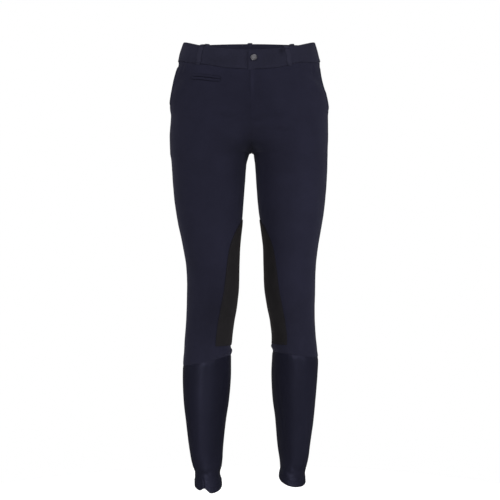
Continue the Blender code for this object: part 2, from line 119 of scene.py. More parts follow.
# Where the halves meet over the fork: how far out they are drawn together
MEETING_REACH = 0.045
MEETING_FADE = 0.030
BRIDGE_REACH = 0.016
BRIDGE_HEIGHT = 0.100
BRIDGE_SHARE = 0.55
BRIDGE_TOP_FADE = 0.030
BRIDGE_FOOT = 0.001
BRIDGE_FOOT_FADE = 0.024

# Below the knee: mean height of the calf seam, and how much higher it runs at the inside
CALF_SEAM_HEIGHT = {RIGHT: -0.6772, LEFT: -0.6679}
CALF_SEAM_RISE = {RIGHT: 0.0108, LEFT: 0.0060}

# Half breadths from the middle plane in millimetres, at each height in millimetres
BREADTH_COLUMNS = ("height", "right_outer", "right_inner", "left_outer", "left_inner")
BREADTHS = (
    (0, 143.0, -3.2, 139.5, 3.2),
    (-15, 148.0, -3.2, 143.7, 3.2),
    (-32, 152.9, -3.2, 148.3, 3.2),
    (-39, 154.6, -3.2, 150.8, 3.2),
    (-46, 153.5, -3.2, 149.8, 3.2),
    (-58, 157.5, -3.2, 151.3, 3.2),
    (-75, 162.4, -3.2, 153.6, 3.2),
    (-100, 168.4, -3.2, 160.6, 3.2),
    (-113, 170.8, -3.2, 164.7, 3.2),
    (-130, 172.9, -3.2, 168.1, 3.2),
    (-143, 172.2, -3.2, 169.0, 3.2),
    (-156, 170.2, -3.2, 167.8, 3.2),
    (-200, 172.8, -3.2, 168.4, 3.2),
    (-235.5, 171.5, -3.2, 167.2, 3.2),
    (-236.7, 171.4, 0.3, 167.2, 6.7),
    (-239.5, 171.1, 1.8, 167.1, 7.8),
    (-247, 169.6, 4.1, 166.9, 8.7),
    (-261, 167.8, 7.7, 166.6, 10.7),
    (-300, 165.2, 10.4, 164.8, 13.3),
    (-338, 161.7, 13.0, 161.4, 16.2),
    (-364, 157.7, 15.1, 158.6, 18.9),
    (-390, 153.1, 17.3, 154.6, 22.9),
    (-415, 147.4, 20.0, 150.2, 26.2),
    (-441, 142.1, 22.2, 145.8, 29.3),
    (-480, 135.6, 23.6, 141.3, 30.4),
    (-518, 133.8, 24.2, 139.4, 31.4),
    (-560, 134.3, 28.4, 139.2, 36.8),
    (-600, 136.3, 35.2, 140.3, 44.6),
    (-636, 139.2, 39.2, 142.6, 48.2),
    (-650, 139.8, 40.1, 144.2, 46.6),
    (-660, 140.2, 38.6, 145.0, 48.3),
    (-675, 141.3, 40.4, 146.6, 48.0),
    (-710, 141.8, 41.0, 145.0, 47.0),
    (-760, 139.8, 45.2, 141.4, 49.1),
    (-812, 133.9, 52.6, 136.2, 55.9),
    (-866, 126.9, 58.2, 128.8, 60.5),
    (-900, 120.4, 60.2, 124.7, 64.8),
    (-915, 116.2, 63.4, 121.8, 65.4),
    (-930, 116.9, 60.1, 119.6, 63.0),
    (-955, 116.0, 59.0, 121.0, 61.5),
)

# The inside of the cloth beside the fork, which doesn't turn so fast as the inside itself.
# Columns: height, right, left
BESIDE_FORK = ((-235.5, -3.2, 3.2), (-236.5, -2.1, 4.3), (-240, 1.1, 6.9), (-248, 5.0, 9.2))
FORK_BOTTOM = -260              # in millimetres
FORK_TURN = 0.55                # where round the leg the inside turns off: minus the cosine

# Front and back of the cloth in millimetres from the hip line, and how square the section is
DEPTH_COLUMNS = ("height", "front", "back", "squareness")
DEPTHS = (
    (0, -98, 98, 2.15),
    (-40, -104, 108, 2.2),
    (-100, -112, 122, 2.25),
    (-150, -113, 128, 2.25),
    (-200, -107, 121, 2.2),
    (-235, -101, 108, 2.15),
    (-300, -92, 84, 2.05),
    (-400, -84, 66, 2.0),
    (-480, -77, 55, 2.0),
    (-550, -71, 50, 2.0),
    (-600, -63, 52, 2.0),
    (-680, -55, 60, 2.0),
    (-760, -46, 60, 2.0),
    (-840, -34, 52, 2.0),
    (-900, -26, 46, 2.0),
    (-925, -24, 44, 2.0),
    (-960, -27, 48, 2.0),
)

# Where the side seam lies, in degrees in front of the side
SIDE_SEAM_COLUMNS = ("height", "angle")
SIDE_SEAM = ((-40, 12), (-110, 12), (-160, 9), (-250, 4), (-400, 1), (-700, 1))

# The mouth of each side pocket
MOUTH_TOP = -0.048
MOUTH_BOTTOM = {RIGHT: -0.141, LEFT: -0.150}
MOUTH_LIFT = 0.0021
MOUTH_FADE = 0.010

# Rows of the panels: the height at the side seam and at the inseam, in millimetres
STRAIGHT_ROWS = 2
LAST_ROWS = (0.25, 0.5, 0.72, 0.86, 0.95, 1.0)   # from the table's end to the calf seam
CENTRE_SEAM_ANGLES = (94, 102, 114, 128, 142, 155, 168)
LEG_ROWS = (
    (-250, -236.7), (-264, -239.5), (-279, -247), (-297, -261), (-318, -287), (-340, -320),
    (-364, -353), (-389, -384), (-404, -400), (-422, -420), (-457, -456), (-492, -492),
    (-530, -530), (-566, -566), (-602, -602), (-645, -645), (-660, -652),
)
PATCH_SHARE = 8 / 13
ROW_STEP = 0.0034
EDGE_STEPS = (0.0, 0.0004, 0.0009, 0.0015, 0.0023, 0.0034, 0.0050, 0.0072)
# Columns over the lapped end, as shares of its length
TAB_SHARES = (*(step / 0.014 for step in EDGE_STEPS[:6]), 0.42, 0.6, 0.8)
PANEL_COLUMNS = 74

# Knee patches: edge in degrees round the leg at each height in millimetres
PATCH_EDGE_COLUMNS = ("height", "front", "back")
PATCH_EDGE = (
    (-235, 111, 111), (-300, 120, 120), (-353, 142, 142), (-379, 166, 166), (-392, 153, 152),
    (-406, 144, 141), (-426, 135, 130), (-456, 127, 118), (-492, 121, 111), (-530, 116, 106),
    (-566, 113, 104), (-602, 112, 103), (-645, 111, 102), (-660, 111, 102),
)
PATCH_INSEAM = 0.15             # how much of the inseam's hollow shows through the suede
PATCH_TOP = -0.379
PATCH_BOTTOM = -0.645
PATCH_ROWS = 76
PATCH_COLUMNS = 34
PATCH_EDGE_SHARE = 0.03
PATCH_STITCH_ROW = 4
# How its edge and its stitching press it down: depth, distance from the edge, half width
PATCH_PRESS = ((0.0006, 0.0, 0.0011), (0.00035, 0.0026, 0.0009))

# Hems: height in millimetres at each angle round the leg.  Columns: angle, right, left
HEM = (
    (-135, -946, -941), (-90, -951, -947), (-45, -947, -949), (0, -944, -948),
    (20, -945.5, -950.5), (51, -948.5, -953.6), (73, -944, -953.8), (103, -953.5, -951.5),
    (150, -949, -943), (180, -943, -936), (225, -946, -941),
)
HEM_START = math.radians(HEM[0][0])
HEM_ROWS = (0.0062, 0.0112, 0.0160)
HEM_DEPTH = 0.018
HEM_FOLD = 0.00055
HEM_FOLD_FADE = 0.0015
HEM_EDGE = (-0.0009, 0.0008)    # depth and half width
HEM_GROOVE = (0.00040, 0.0009)
HEM_WAVE = (0.00018, 0.008)     # rise and reach
CALF_AROUND = 132
CALF_ROWS = 96
CALF_LENGTH = 0.275
# Rows near the calf's top and hem, in millimetres
CALF_TOP_STEPS = (0, 0.4, 0.9, 1.5, 2.4, 3.6, 5.5)
HEM_STEPS = (19, 17.5, 16.5, 15.5, 14.2, 12.7, 11.7, 10.7, 9.2, 7.7, 6.2, 4.7, 3.4, 2.3, 1.4, 0.7,
             0.3, 0)

# Belt loops.  Columns: name, side, angle at its top and at its foot
LOOPS = (
    ("belt_loop_front_right", RIGHT, 49, 48),
    ("belt_loop_front_left", LEFT, 60.5, 59),
    ("belt_loop_back_right", RIGHT, -50, -50),
    ("belt_loop_back_left", LEFT, -50, -50),
    ("belt_loop_back_center", LEFT, -90, -90),
)
LOOP_WIDTH = 0.0105
LOOP_THICKNESS = 0.0014
LOOP_ROWS = 72
LOOP_TACKS = (0.0006, 0.0035)   # above its foot and below its top
# How a tack dents a loop and draws it in: how far, and over how many rows
TACK_DENT = (0.00040, 1.3)
TACK_WAIST = (0.07, 1.5)
TACK_STITCHES = 15
# The middle of a loop, from its foot up the band, over its top and down inside.
# Columns: share of the band's height, millimetres added to it, millimetres off the band's face
LOOP_PATH = (
    (-0.055, 0, 0.55), (0, 0, 0.75), (0.1, 0, 0.95), (0.3, 0, 1.1), (0.6, 0, 1.15),
    (0.85, 0, 1.15), (1, -0.2, 1.1), (1, 1.4, 0.5), (1, 1.8, -1.2), (1, 1.0, -3.0),
    (1, -1.6, -3.6), (1, -7, -3.6),
)

# Fly
FLY_TOP = -0.0700
FLY_END = -0.1420
ZIP_BOTTOM = -0.1400
UNDERLAP_BOTTOM = -0.1500
ZIP_SPAN = (0.004, 0.026)
ZIP_THICKNESS = 0.0008
TOOTH_PITCH = 0.0015
TOOTH_REACH = 0.0011
UNDERLAP_SPAN = (-0.018, 0.034)
UNDERLAP_THICKNESS = 0.0012
UNDERLAP_FADE = 0.016

# Small welt pocket on the right front: its outer and inner end
POCKET_ENDS = ((-0.1215, -0.0808), (-0.0617, -0.0885))
WELT_HEIGHT = 0.0056
WELT_DEPTH = 0.0021
WELT_STAND = 0.00048
WELT_ROLL = (0.0003, 29)        # rise, and waves along a lip
WELT_END = (0.25, 0.02)         # a lip is this much slimmer at its ends, over this share of it
POCKET_BOW = 0.0004
POCKET_OPEN = 0.00070
SLIT_WIDTH = 0.0024
# Strips of painted shade along the pocket's lips.  Columns: name, distance from the slit, width
PAINTED_SHADE_STRIPS = (("upper", 0.0053, 0.0005), ("lower", -0.0058, 0.0011))

# Button
BUTTON_PLACE = (0.0079, -0.0443)
BUTTON_RADIUS = 0.00675
# Columns: share of the radius, height in millimetres
BUTTON_FACE = (
    (0.0, 2.62), (0.10, 2.62), (0.16, 2.72), (0.30, 2.74), (0.46, 2.66), (0.60, 2.62),
    (0.66, 2.66), (0.70, 2.95), (0.75, 3.16), (0.83, 3.22), (0.91, 3.12), (0.97, 2.85),
    (1.0, 2.45), (0.99, 2.05), (0.94, 1.75), (0.86, 1.55), (0.60, 1.45), (0.44, 1.40),
    (0.40, 1.2), (0.40, 0.35), (0.0, 0.35),
)

# Strips: columns round one, how round its faces are, where its grooves lie and how wide they are
STRIP_AROUND = 20
STRIP_ROUNDING = 0.75
STRIP_GROOVE = (0.72, 0.12)

# Stitches
STITCH_LENGTH = 0.0027
STITCH_GAP = 0.0007
STITCH_RADIUS = 0.00026
STITCH_FLATNESS = 0.8
TACK_REACH = 0.0009             # half the length of a tack's stitches
TACK_RADIUS = 0.00022
# Along a stitch.  Columns: share of its length, rise and size in radii of the thread
STITCH_RINGS = ((0.0, -0.9, 0.45), (0.14, -0.1, 0.95), (0.5, 0.25, 1.05), (0.86, -0.1, 0.95),
                (1.0, -0.9, 0.45))

# Grain of the cloth
RIBS_SCALE = 0.628              # scale of a wave texture with its ribs a metre apart
CLOTH_GRAIN = 420.0
CLOTH_PATCHES = 26.0
GRAIN_DEPTH = 0.00012
INSIDE_UV_SHIFT = 0.0003

# Studio
FLOOR_HEIGHT = -1.03
# How bright the light round the garment is, from in front (0) to behind (1)
SKY_STOPS = ((0.0, 0.16), (0.30, 0.16), (0.52, 0.20), (0.66, 0.40), (1.0, 0.60))
# Columns: name, place, height it aims at, size, power, whether it shows in what shines
SOFTBOXES = (
    ("key", (2.0, -2.2, 0.9), -0.45, (0.9, 1.6), 52, False),
    ("fill", (-2.0, -2.2, 0.8), -0.45, (0.9, 1.6), 43, False),
    ("side_right", (2.9, -0.5, 0.5), -0.45, (0.9, 2.2), 36, False),
    ("side_left", (-2.9, -0.3, 0.5), -0.45, (0.9, 2.2), 22, False),
    ("front_left", (-0.7, -3.2, 0.1), -0.6, (0.9, 2.4), 27, True),
    ("front_right", (1.6, -2.9, 0.1), -0.6, (0.7, 2.4), 11, True),
)
CAMERA_DISTANCE = 3.1
CAMERA_HEIGHT = -0.444
PICTURE_WIDTH = 1.075           # metres across the picture at the garment's middle

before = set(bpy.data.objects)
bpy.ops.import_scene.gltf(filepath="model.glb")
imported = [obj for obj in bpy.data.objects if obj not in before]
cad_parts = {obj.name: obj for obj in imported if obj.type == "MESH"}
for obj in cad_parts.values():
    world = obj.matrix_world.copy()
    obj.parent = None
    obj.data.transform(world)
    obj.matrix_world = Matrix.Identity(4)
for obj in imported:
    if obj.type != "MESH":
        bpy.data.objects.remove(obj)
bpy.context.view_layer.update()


def hermite(s, h, start, start_slope, end, end_slope):
    """The smooth curve at share s between two values h apart, with a slope at each."""
    return ((1 + 2 * s) * (1 - s) ** 2 * start + s * (1 - s) ** 2 * h * start_slope
            + s * s * (3 - 2 * s) * end + s * s * (s - 1) * h * end_slope)


class Profile:
    """A smooth line through pairs of numbers, with no overshoot between them."""

    def __init__(self, rows):
        self.x, self.y = np.array(sorted(rows), float).T
        rises = np.diff(self.y) / np.diff(self.x)
        product = rises[1:] * rises[:-1]
        total = rises[1:] + rises[:-1]
        safe = np.where(product > 0, total, 1.0)
        middle = np.where(product > 0, 2 * product / safe, 0.0)
        self.slope = np.concatenate(([rises[0]], middle, [rises[-1]]))

    def __call__(self, x):
        x = np.clip(x, self.x[0], self.x[-1])
        i = np.clip(np.searchsorted(self.x, x, side="right") - 1, 0, len(self.x) - 2)
        h = self.x[i + 1] - self.x[i]
        return hermite((x - self.x[i]) / h, h, self.y[i], self.slope[i],
                       self.y[i + 1], self.slope[i + 1])


def column(table, names, name, scale=MM):
    """The line through one column of a table, over its heights."""
    place = names.index(name)
    return Profile([(row[0] * MM, row[place] * scale) for row in table])


OUTER = {side: column(BREADTHS, BREADTH_COLUMNS, word + "_outer") for side, word in WORD.items()}
INNER = {side: column(BREADTHS, BREADTH_COLUMNS, word + "_inner") for side, word in WORD.items()}
SOFT_INNER = {side: Profile([(row[0] * MM, row[near] * MM) for row in BESIDE_FORK]
                            + [(row[0] * MM, row[far] * MM) for row in BREADTHS
                               if row[0] < FORK_BOTTOM])
              for side, near, far in ((RIGHT, 1, 2), (LEFT, 2, 4))}
FRONT = column(DEPTHS, DEPTH_COLUMNS, "front")
BACK = column(DEPTHS, DEPTH_COLUMNS, "back")
SQUARENESS = column(DEPTHS, DEPTH_COLUMNS, "squareness", 1)
SEAM_ANGLE = column(SIDE_SEAM, SIDE_SEAM_COLUMNS, "angle", math.pi / 180)
PATCH_SIDE = {front: column(PATCH_EDGE, PATCH_EDGE_COLUMNS, word, math.pi / 180)
              for front, word in ((True, "front"), (False, "back"))}
HEM_HEIGHT = {side: Profile([(math.radians(row[0]), row[i] * MM) for row in HEM])
              for side, i in ((RIGHT, 1), (LEFT, 2))}


def ease(x):
    """0 to 1 with a soft start and end."""
    x = np.clip(x, 0.0, 1.0)
    return x * x * (3 - 2 * x)


def bell(x):
    return np.exp(-x * x)


def unit(v):
    return v / np.maximum(np.linalg.norm(v, axis=-1, keepdims=True), 1e-12)


def run_along(points, axis=0):
    """Distance along a line of points, or along one direction of a grid."""
    steps = np.linalg.norm(np.diff(points, axis=axis), axis=-1)
    return np.concatenate([np.zeros_like(steps.take([0], axis)), np.cumsum(steps, axis)], axis)


def smooth_line(places, count):
    """Points of a smooth line through a few places."""
    places = np.array(places, float)
    run = run_along(places)
    tangent = np.gradient(places, run, axis=0)
    at = np.linspace(0, run[-1], count)
    i = np.clip(np.searchsorted(run, at, side="right") - 1, 0, len(run) - 2)
    h = run[i + 1] - run[i]
    s = (at - run[i]) / h
    return hermite(s[:, None], h[:, None], places[i], tangent[i], places[i + 1], tangent[i + 1])


def spread(side, t, z):
    """Sides, angles and heights as arrays of one shape."""
    return np.broadcast_arrays(side, np.asarray(t, float), np.asarray(z, float))


def by_side(side, pair, *at):
    """The right's or the left's number, or the value of its line."""
    right, left = (pair[which](*at) if at else pair[which] for which in (RIGHT, LEFT))
    return np.where(side < 0, right, left)


def middle_line(z):
    return CROTCH_SHIFT * ease((SHIFT_START - z) / (SHIFT_START - CROTCH))


def swing_share(z):
    return np.clip((SWING_TOP - z) / (SWING_TOP - SWING_BOTTOM), 0.0, None)


def section(side, z, front):
    """Centre, half breadth, mid line, depth and squareness of one half's section."""
    z = np.asarray(z, float)
    shift = side * middle_line(z)
    outer = by_side(side, OUTER, z) - shift
    inner = by_side(side, SOFT_INNER, z) - shift
    height = np.where(front, FRONT_CURVE_HEIGHT, BACK_CURVE_HEIGHT)
    power = np.where(front, FRONT_CURVE_POWER, BACK_CURVE_POWER)
    bend = np.clip(1 - (z - CROTCH) / height, 0.0, 1.0) ** power
    below = z < CROTCH
    half = np.where(below, (outer - inner) / 2, outer / (1 + bend))
    centre = np.where(below, (outer + inner) / 2, bend * outer / (1 + bend))
    middle = (FRONT(z) + BACK(z)) / 2
    depth = np.where(front, FRONT(z), BACK(z)) - middle
    return centre, half, middle + by_side(side, SWING) * swing_share(z), depth, SQUARENESS(z)


def skin(side, t, z):
    """Points on the outside of the cloth."""
    side, t, z = spread(side, t, z)
    c, s = np.cos(t), np.sin(t)
    centre, half, middle, depth, square = section(side, z, s >= 0)
    across = centre + half * np.sign(c) * np.abs(c) ** (2 / square)
    along = middle + depth * np.abs(s) ** (2 / square)
    # beside the fork the inside itself turns off from the cloth next to it
    turn = by_side(side, INNER, z) - by_side(side, SOFT_INNER, z)
    across = across + turn * np.where(z < CROTCH, ease((-c - FORK_TURN) / (1 - FORK_TURN)), 0.0)
    # over the fork the two halves meet in a soft hollow
    share = np.clip((BRIDGE_REACH - centre) / half, -1, 1)
    cosine = np.abs(share) ** (square / 2)
    beside = middle + depth * np.sqrt(1 - cosine ** 2) ** (2 / square)
    span = (ease((CROTCH + BRIDGE_HEIGHT - z) / BRIDGE_TOP_FADE)
            * ease((z - CROTCH - BRIDGE_FOOT) / BRIDGE_FOOT_FADE))
    near = 1 - ease(np.maximum(across, 0) / BRIDGE_REACH)
    along = along + BRIDGE_SHARE * span * near * (beside - along)
    even = (SWING[RIGHT] + SWING[LEFT]) / 2 - by_side(side, SWING)
    near = 1 - ease(np.maximum(across, 0) / MEETING_REACH)
    along = along + even * swing_share(z) * near * ease((z - CROTCH + MEETING_FADE) / MEETING_FADE)
    x = side * np.maximum(across, SEWN_GAP) + middle_line(z)
    return np.stack([x, along, z], -1)


def skin_normal(side, t, z):
    """Directions out of the skin."""
    turn, rise = 0.002, 0.0004
    side, t, z = spread(side, t, z)
    round_leg = skin(side, t + turn, z) - skin(side, t - turn, z)
    up = skin(side, t, z + rise) - skin(side, t, z - rise)
    return unit(np.cross(up, round_leg)) * side[..., None]


def turn_length(side, t, z):
    """Metres along the cloth for each radian of t."""
    step = 0.004
    return np.linalg.norm(skin(side, t + step, z) - skin(side, t - step, z), axis=-1) / (2 * step)


def angle_at(side, across, z, front=True):
    """The angle t at which the section is this far from the middle plane."""
    centre, half, _, _, square = section(side, z, front)
    share = (across - centre) / half
    cosine = np.sign(share) * np.minimum(np.abs(share), 1.0) ** (square / 2)
    return np.arccos(cosine) * np.where(front, 1, -1)


def waist_seam(t):
    """Height of the seam under the band."""
    change = np.where(np.asarray(t) >= 0, -BAND_SEAM_DIP, BAND_SEAM_RISE)
    return BAND_SEAM_SIDE + change * np.sin(t) ** 2


def waist_line(side, t):
    """The seam under the band as sewn, a little uneven."""
    side, t = np.broadcast_arrays(side, np.asarray(t, float))
    z = waist_seam(t)
    for which, at, rise, reach in SEAM_DRIFT:
        here = bell((t - math.radians(at)) / math.radians(reach))
        z = z + np.where(side == which, rise * MM * here, 0.0)
    return z


def calf_seam(side, t):
    return by_side(side, CALF_SEAM_HEIGHT) - by_side(side, CALF_SEAM_RISE) * np.cos(t)


# ---------------------------------------------------------------------------------------------
# Relief of the cloth: creases placed one by one, seams, and a slow unevenness

# Creases of the front and back, by their ends' places across and up in millimetres.
# Columns: x and height of one end, of the middle, of the other end, width, depth (+ is a ridge)
FRONT_CREASES = (
    # fanning from the crotch over the right thigh, then over the left
    (-9, -214, -30, -196, -62, -184, 6.5, -1.7), (-8, -200, -26, -176, -56, -158, 6.0, -1.5),
    (-13, -184, -22, -162, -44, -140, 5.0, -1.2), (-30, -206, -54, -190, -92, -186, 8.0, 1.2),
    (-10, -164, -13, -148, -22, -130, 4.5, -1.3), (-74, -172, -80, -152, -77, -132, 7.0, -1.4),
    (-30, -182, -42, -164, -66, -150, 6.0, 0.9),
    (15, -214, 34, -198, 64, -188, 6.5, -1.7), (14, -202, 32, -178, 60, -160, 6.0, -1.5),
    (16, -186, 27, -164, 42, -146, 5.0, -1.2), (36, -206, 58, -190, 94, -184, 8.0, 1.2),
    (26, -154, 31, -142, 34, -126, 4.5, -1.1), (9, -152, 16, -144, 25, -141, 4.0, 0.9),
    # a short fold beneath the fly
    (-2, -176, 10, -177, 22, -174, 4.0, -1.1),
    # drag lines from the hip to the waist at the sides
    (-158, -96, -140, -76, -118, -68, 7.0, -0.8), (-166, -120, -150, -106, -128, -100, 8.0, 0.7),
    (150, -92, 132, -74, 108, -70, 7.0, -0.8), (160, -118, 146, -104, 124, -98, 8.0, 0.7),
    (132, -52, 133, -64, 135, -78, 2.6, -0.7), (-140, -50, -142, -60, -147, -72, 2.6, -0.6),
    # short folds between the band and the small pocket, and beside its ends
    (-106, -64, -88, -68, -70, -69, 3.2, -0.7), (-98, -71, -78, -74, -58, -73, 3.0, -0.6),
    (-66, -62, -55, -72, -52, -84, 4.0, -0.7), (-128, -72, -130, -82, -124, -92, 4.0, -0.6),
    (60, -66, 76, -70, 92, -66, 4.0, -0.6),
    # across the fronts of the thighs, long and faint
    (-150, -262, -112, -282, -70, -286, 14.0, -0.9),
    (-140, -352, -104, -366, -66, -362, 15.0, 0.9),
    (150, -262, 110, -284, 66, -290, 14.0, -0.9), (146, -340, 112, -360, 72, -360, 15.0, 0.9),
)
BACK_CREASES = (
    # under the seat on each side
    (-22, -238, -70, -268, -132, -252, 9.0, -1.6), (-30, -262, -76, -290, -128, -282, 8.0, -1.2),
    (24, -240, 74, -272, 136, -262, 9.0, -1.6), (32, -266, 80, -292, 130, -288, 8.0, -1.2),
    (-26, -250, -74, -281, -126, -268, 7.0, 1.2), (28, -253, 78, -283, 132, -275, 7.0, 1.2),
    # fanning up from the crotch
    (-10, -218, -36, -196, -74, -196, 6.0, -1.0), (16, -218, 42, -198, 80, -200, 6.0, -1.0),
    (-8, -196, -22, -170, -46, -158, 5.0, -0.8), (13, -196, 28, -172, 52, -160, 5.0, -0.8),
    # small folds below the band in the hollow of the back
    (-60, -34, -58, -48, -52, -64, 4.0, -0.7), (-84, -36, -86, -50, -80, -66, 4.0, -0.6),
    (58, -34, 56, -50, 50, -62, 4.0, -0.7), (88, -36, 90, -52, 84, -68, 4.0, -0.6),
    (-24, -34, -22, -46, -16, -58, 3.5, -0.5), (26, -34, 24, -46, 18, -60, 3.5, -0.5),
    (-142, -150, -108, -166, -64, -160, 12.0, 0.8), (142, -156, 112, -170, 66, -166, 12.0, 0.8),
)
# Creases of a leg by angle in degrees and height in millimetres.
# Columns: side, angle and height of one end, of the middle, of the other end, width, depth
LEG_CREASES = (
    # behind the knees
    (-1, -38, -552, -88, -566, -142, -556, 5.5, -1.6),
    (-1, -44, -572, -92, -584, -136, -578, 5.0, -1.3),
    (-1, -52, -534, -90, -542, -128, -536, 5.0, -0.9),
    (-1, -40, -562, -90, -575, -140, -567, 4.0, 1.0),
    (-1, -60, -598, -96, -606, -128, -600, 5.0, -0.8),
    (1, -40, -556, -90, -568, -140, -560, 5.5, -1.6),
    (1, -48, -578, -88, -590, -134, -580, 5.0, -1.3),
    (1, -50, -538, -92, -546, -130, -540, 5.0, -0.9),
    (1, -42, -567, -90, -579, -138, -570, 4.0, 1.0),
    (1, -58, -602, -92, -611, -126, -604, 5.0, -0.8),
    # over and below the kneecaps
    (-1, 52, -556, 88, -572, 118, -560, 9.0, -0.7),
    (-1, 40, -612, 78, -626, 108, -618, 10.0, -0.9),
    (1, 48, -556, 84, -570, 116, -562, 9.0, -0.7), (1, 44, -618, 80, -630, 108, -620, 10.0, -0.7),
    (-1, 168, -662, 184, -657, 200, -664, 4.0, 1.5),
    (1, 160, -655, 176, -650, 196, -658, 4.0, 1.3),
    # calf cloth drawn tight: long faint lines, then the crumpled ankle
    (-1, 150, -700, 142, -780, 128, -850, 6.0, -0.4),
    (1, 150, -700, 140, -770, 130, -850, 6.0, -0.4),
    (-1, 30, -905, 74, -914, 118, -906, 4.5, -0.8),
    (-1, 88, -912, 100, -921, 121, -932, 2.4, -1.0),
    (-1, 70, -922, 73, -934, 74, -946, 3.0, -1.3), (-1, 50, -926, 52, -936, 54, -950, 4.0, 0.6),
    (-1, 96, -930, 99, -940, 102, -954, 4.5, 0.6),
    (-1, 130, -918, 150, -926, 172, -920, 3.5, -0.9),
    (-1, -20, -912, -60, -922, -110, -912, 4.5, -1.1),
    (-1, -60, -930, -100, -936, -150, -928, 4.0, -0.9),
    (1, 150, -908, 120, -920, 84, -926, 3.2, -0.8), (1, 30, -910, 66, -918, 100, -910, 4.5, -0.7),
    (1, 150, -926, 128, -934, 100, -940, 2.8, -0.7), (1, 40, -932, 56, -940, 80, -944, 3.0, -0.6),
    (1, -20, -914, -62, -924, -112, -914, 4.5, -1.1),
    (1, -60, -932, -100, -938, -150, -930, 4.0, -0.9),
    (1, 6, -922, -14, -932, -40, -928, 3.5, -0.8), (-1, 4, -920, -18, -930, -42, -926, 3.5, -0.8),
)
ARC_RADIUS = 0.070
CREASE_DEPTH = 1.45             # times the depths of the front's and back's creases
CALF_TURN = 0.0045
# Rounds and hollows of the knees: side, angle in degrees, height, reach and rise in millimetres
KNEES = ((RIGHT, 78, -522, 42, 3.0), (RIGHT, 84, -604, 36, -3.2),
         (LEFT, 58, -522, 40, 3.2), (LEFT, 84, -606, 36, -2.6))
KNEE_TURN = math.radians(46)
# The J-shaped stitching of the fly: across and up in millimetres
FLY_STITCHING = ((27, -68), (27.3, -84), (27, -100), (25.2, -114), (21, -125), (14.5, -133),
                 (6, -138.5))
# Columns: depth, distance from the stitching, half width
FLY_GROOVES = ((0.00030, 0.0, 0.0011), (-0.00012, 0.003, 0.0015))
FLY_STEP = 0.00042              # the lapped left edge stands this far off the right front
FLY_STEP_WIDTH = (0.0070, 0.0160)
# The rolled edge of the lap and the dip of the right front beside it: rise, place, width
FLY_ROLL = (0.00040, 0.0035, 0.0022)
FLY_DIP = (-0.00008, 0.002, 0.004)
FLY_REACH = 0.040
FLY_END_FADE = 0.030
FLY_TACK = ((0.004, -0.1390), (0.010, -0.1390))
# Painted light and shade on the front's twill: lighter where light falls, as over the left knee,
# and darker where shade falls, as at the fork, the middle and below the right knee; the fly's
# lapped edge is painted lighter, partly as wear and partly as a painted highlight.  Columns: its
# middle across and up, its reach across and up, in millimetres, and the change
TWILL_LIGHT_SHADE_AND_WEAR = (
    (4.3, -96, 4.0, 24, 0.26), (3, -222, 9, 14, -0.10), (6, -132, 48, 42, -0.12),
    (-88, -66, 34, 14, 0.12), (126, -330, 34, 110, 0.22), (150, -150, 24, 60, 0.10),
    (-62, -300, 50, 90, -0.07), (15, -330, 12, 90, 0.16), (-20, -300, 12, 70, 0.06),
    (-66, -560, 34, 70, -0.22), (-120, -470, 30, 60, -0.06), (124, -520, 26, 70, 0.10),
    (62, -600, 30, 50, -0.10), (-128, -90, 20, 34, -0.05), (-92, -604, 34, 44, -0.10),
    (108, -470, 40, 60, 0.06),
)
# The same of the band: painted shade beside the top of the front left loop and under the foot
# of the front right loop, painted light and shade elsewhere, and a mottling of the band
BAND_LIGHT_SHADE_AND_MOTTLE = (
    (65.5, -29, 5.0, 7.0, -0.45), (-8.5, -46, 3.0, 9.0, -0.14), (-2.0, -69, 3.0, 3.0, 0.20),
    (-108, -58, 6.0, 3.0, -0.25), (-132, -24, 16, 12, 0.10), (140, -46, 14, 16, 0.10),
    (40, -40, 14, 16, -0.08), (-60, -30, 20, 10, 0.06), (-70, -52, 24, 7, -0.08),
    (92, -40, 12, 14, 0.05),
)
# The same of the satin: painted highlights and painted shade on the calves, darker over the top
# of the right calf's highlight
SATIN_PAINTED_LIGHT = (
    (-54, -790, 20, 120, -0.20), (-132, -790, 10, 110, -0.10), (130, -790, 20, 120, 0.24),
    (100, -850, 16, 60, 0.08), (58, -760, 14, 80, -0.06), (-101, -688, 13, 30, -0.32),
)
# How deep the centre seams lie against the inseams: front and back
CENTRE_GROOVES = (0.16, 0.80)
# The low bank beside a crease: its share of the depth, its place and half width in crease widths
BANK = (0.35, 2.0, 0.9)
CREASE_FADE = 0.6
# Slow waves: rise in millimetres, then for each of two waves its length round and up in
# millimetres and its start
WAVES = (
    (0.22, (23, 61, 1.3), (-71, 47, 0.0)),
    (0.16, (11.3, -29, 0.4), (math.inf, 33, 2.1)),
    (0.07, (5.1, 13.7, 0.0), (9.3, -8.9, 0.7)),
)
SIDES_APART = 37                # the two sides' waves are this far off in height, in millimetres
# Where the calf's fuller form begins and ends, and over what length
CALF_TOP_FADE = (-0.640, 0.060)
CALF_FOOT_FADE = (-0.880, 0.050)
# Puckers: waves for each radian or metre, how far and how fast these wander, how much of the
# height comes and goes, and how fast
PUCKERS = {"seam": (1 / 0.0031, 2, 1 / 0.017, 0.4, 1 / 0.043), "waist": (61, 1.7, 17, 0.45, 9),
           "calf": (23, 1.5, 7, 0.5, 4), "band": (53, 2, 11, 0.5, 7), "hem": (37, 2, 5, 0, 0)}
# How a seam draws the cloth in: depth and half width of its groove, height and reach of puckers
SIDE_GROOVE = (-0.00060, 0.0015, 0.00010, 0.0045)
INNER_GROOVE = (-0.00065, 0.0016, 0.00012, 0.005)
WAIST_GROOVE = (-0.0015, 0.0026, 0.00026, 0.010)
CALF_GROOVE = (-0.0008, (0.0018, 0.0042), 0.00025, 0.008)   # widths above and below the seam
MOUTH_REACH = 0.0062
MOUTH_SINK = -0.0004            # the back's edge under a side pocket's mouth
HELD_BELOW = 0.0005
HELD_REACH = 0.005              # this near, the centre seams stay in the middle plane


def crease_path(ends):
    """Points of a smooth arc through three places."""
    first, middle, last = np.array(ends)
    s = np.linspace(0.0, 1.0, 13)[:, None]
    control = 2 * middle - (first + last) / 2
    return (1 - s) ** 2 * first + 2 * s * (1 - s) * control + s * s * last


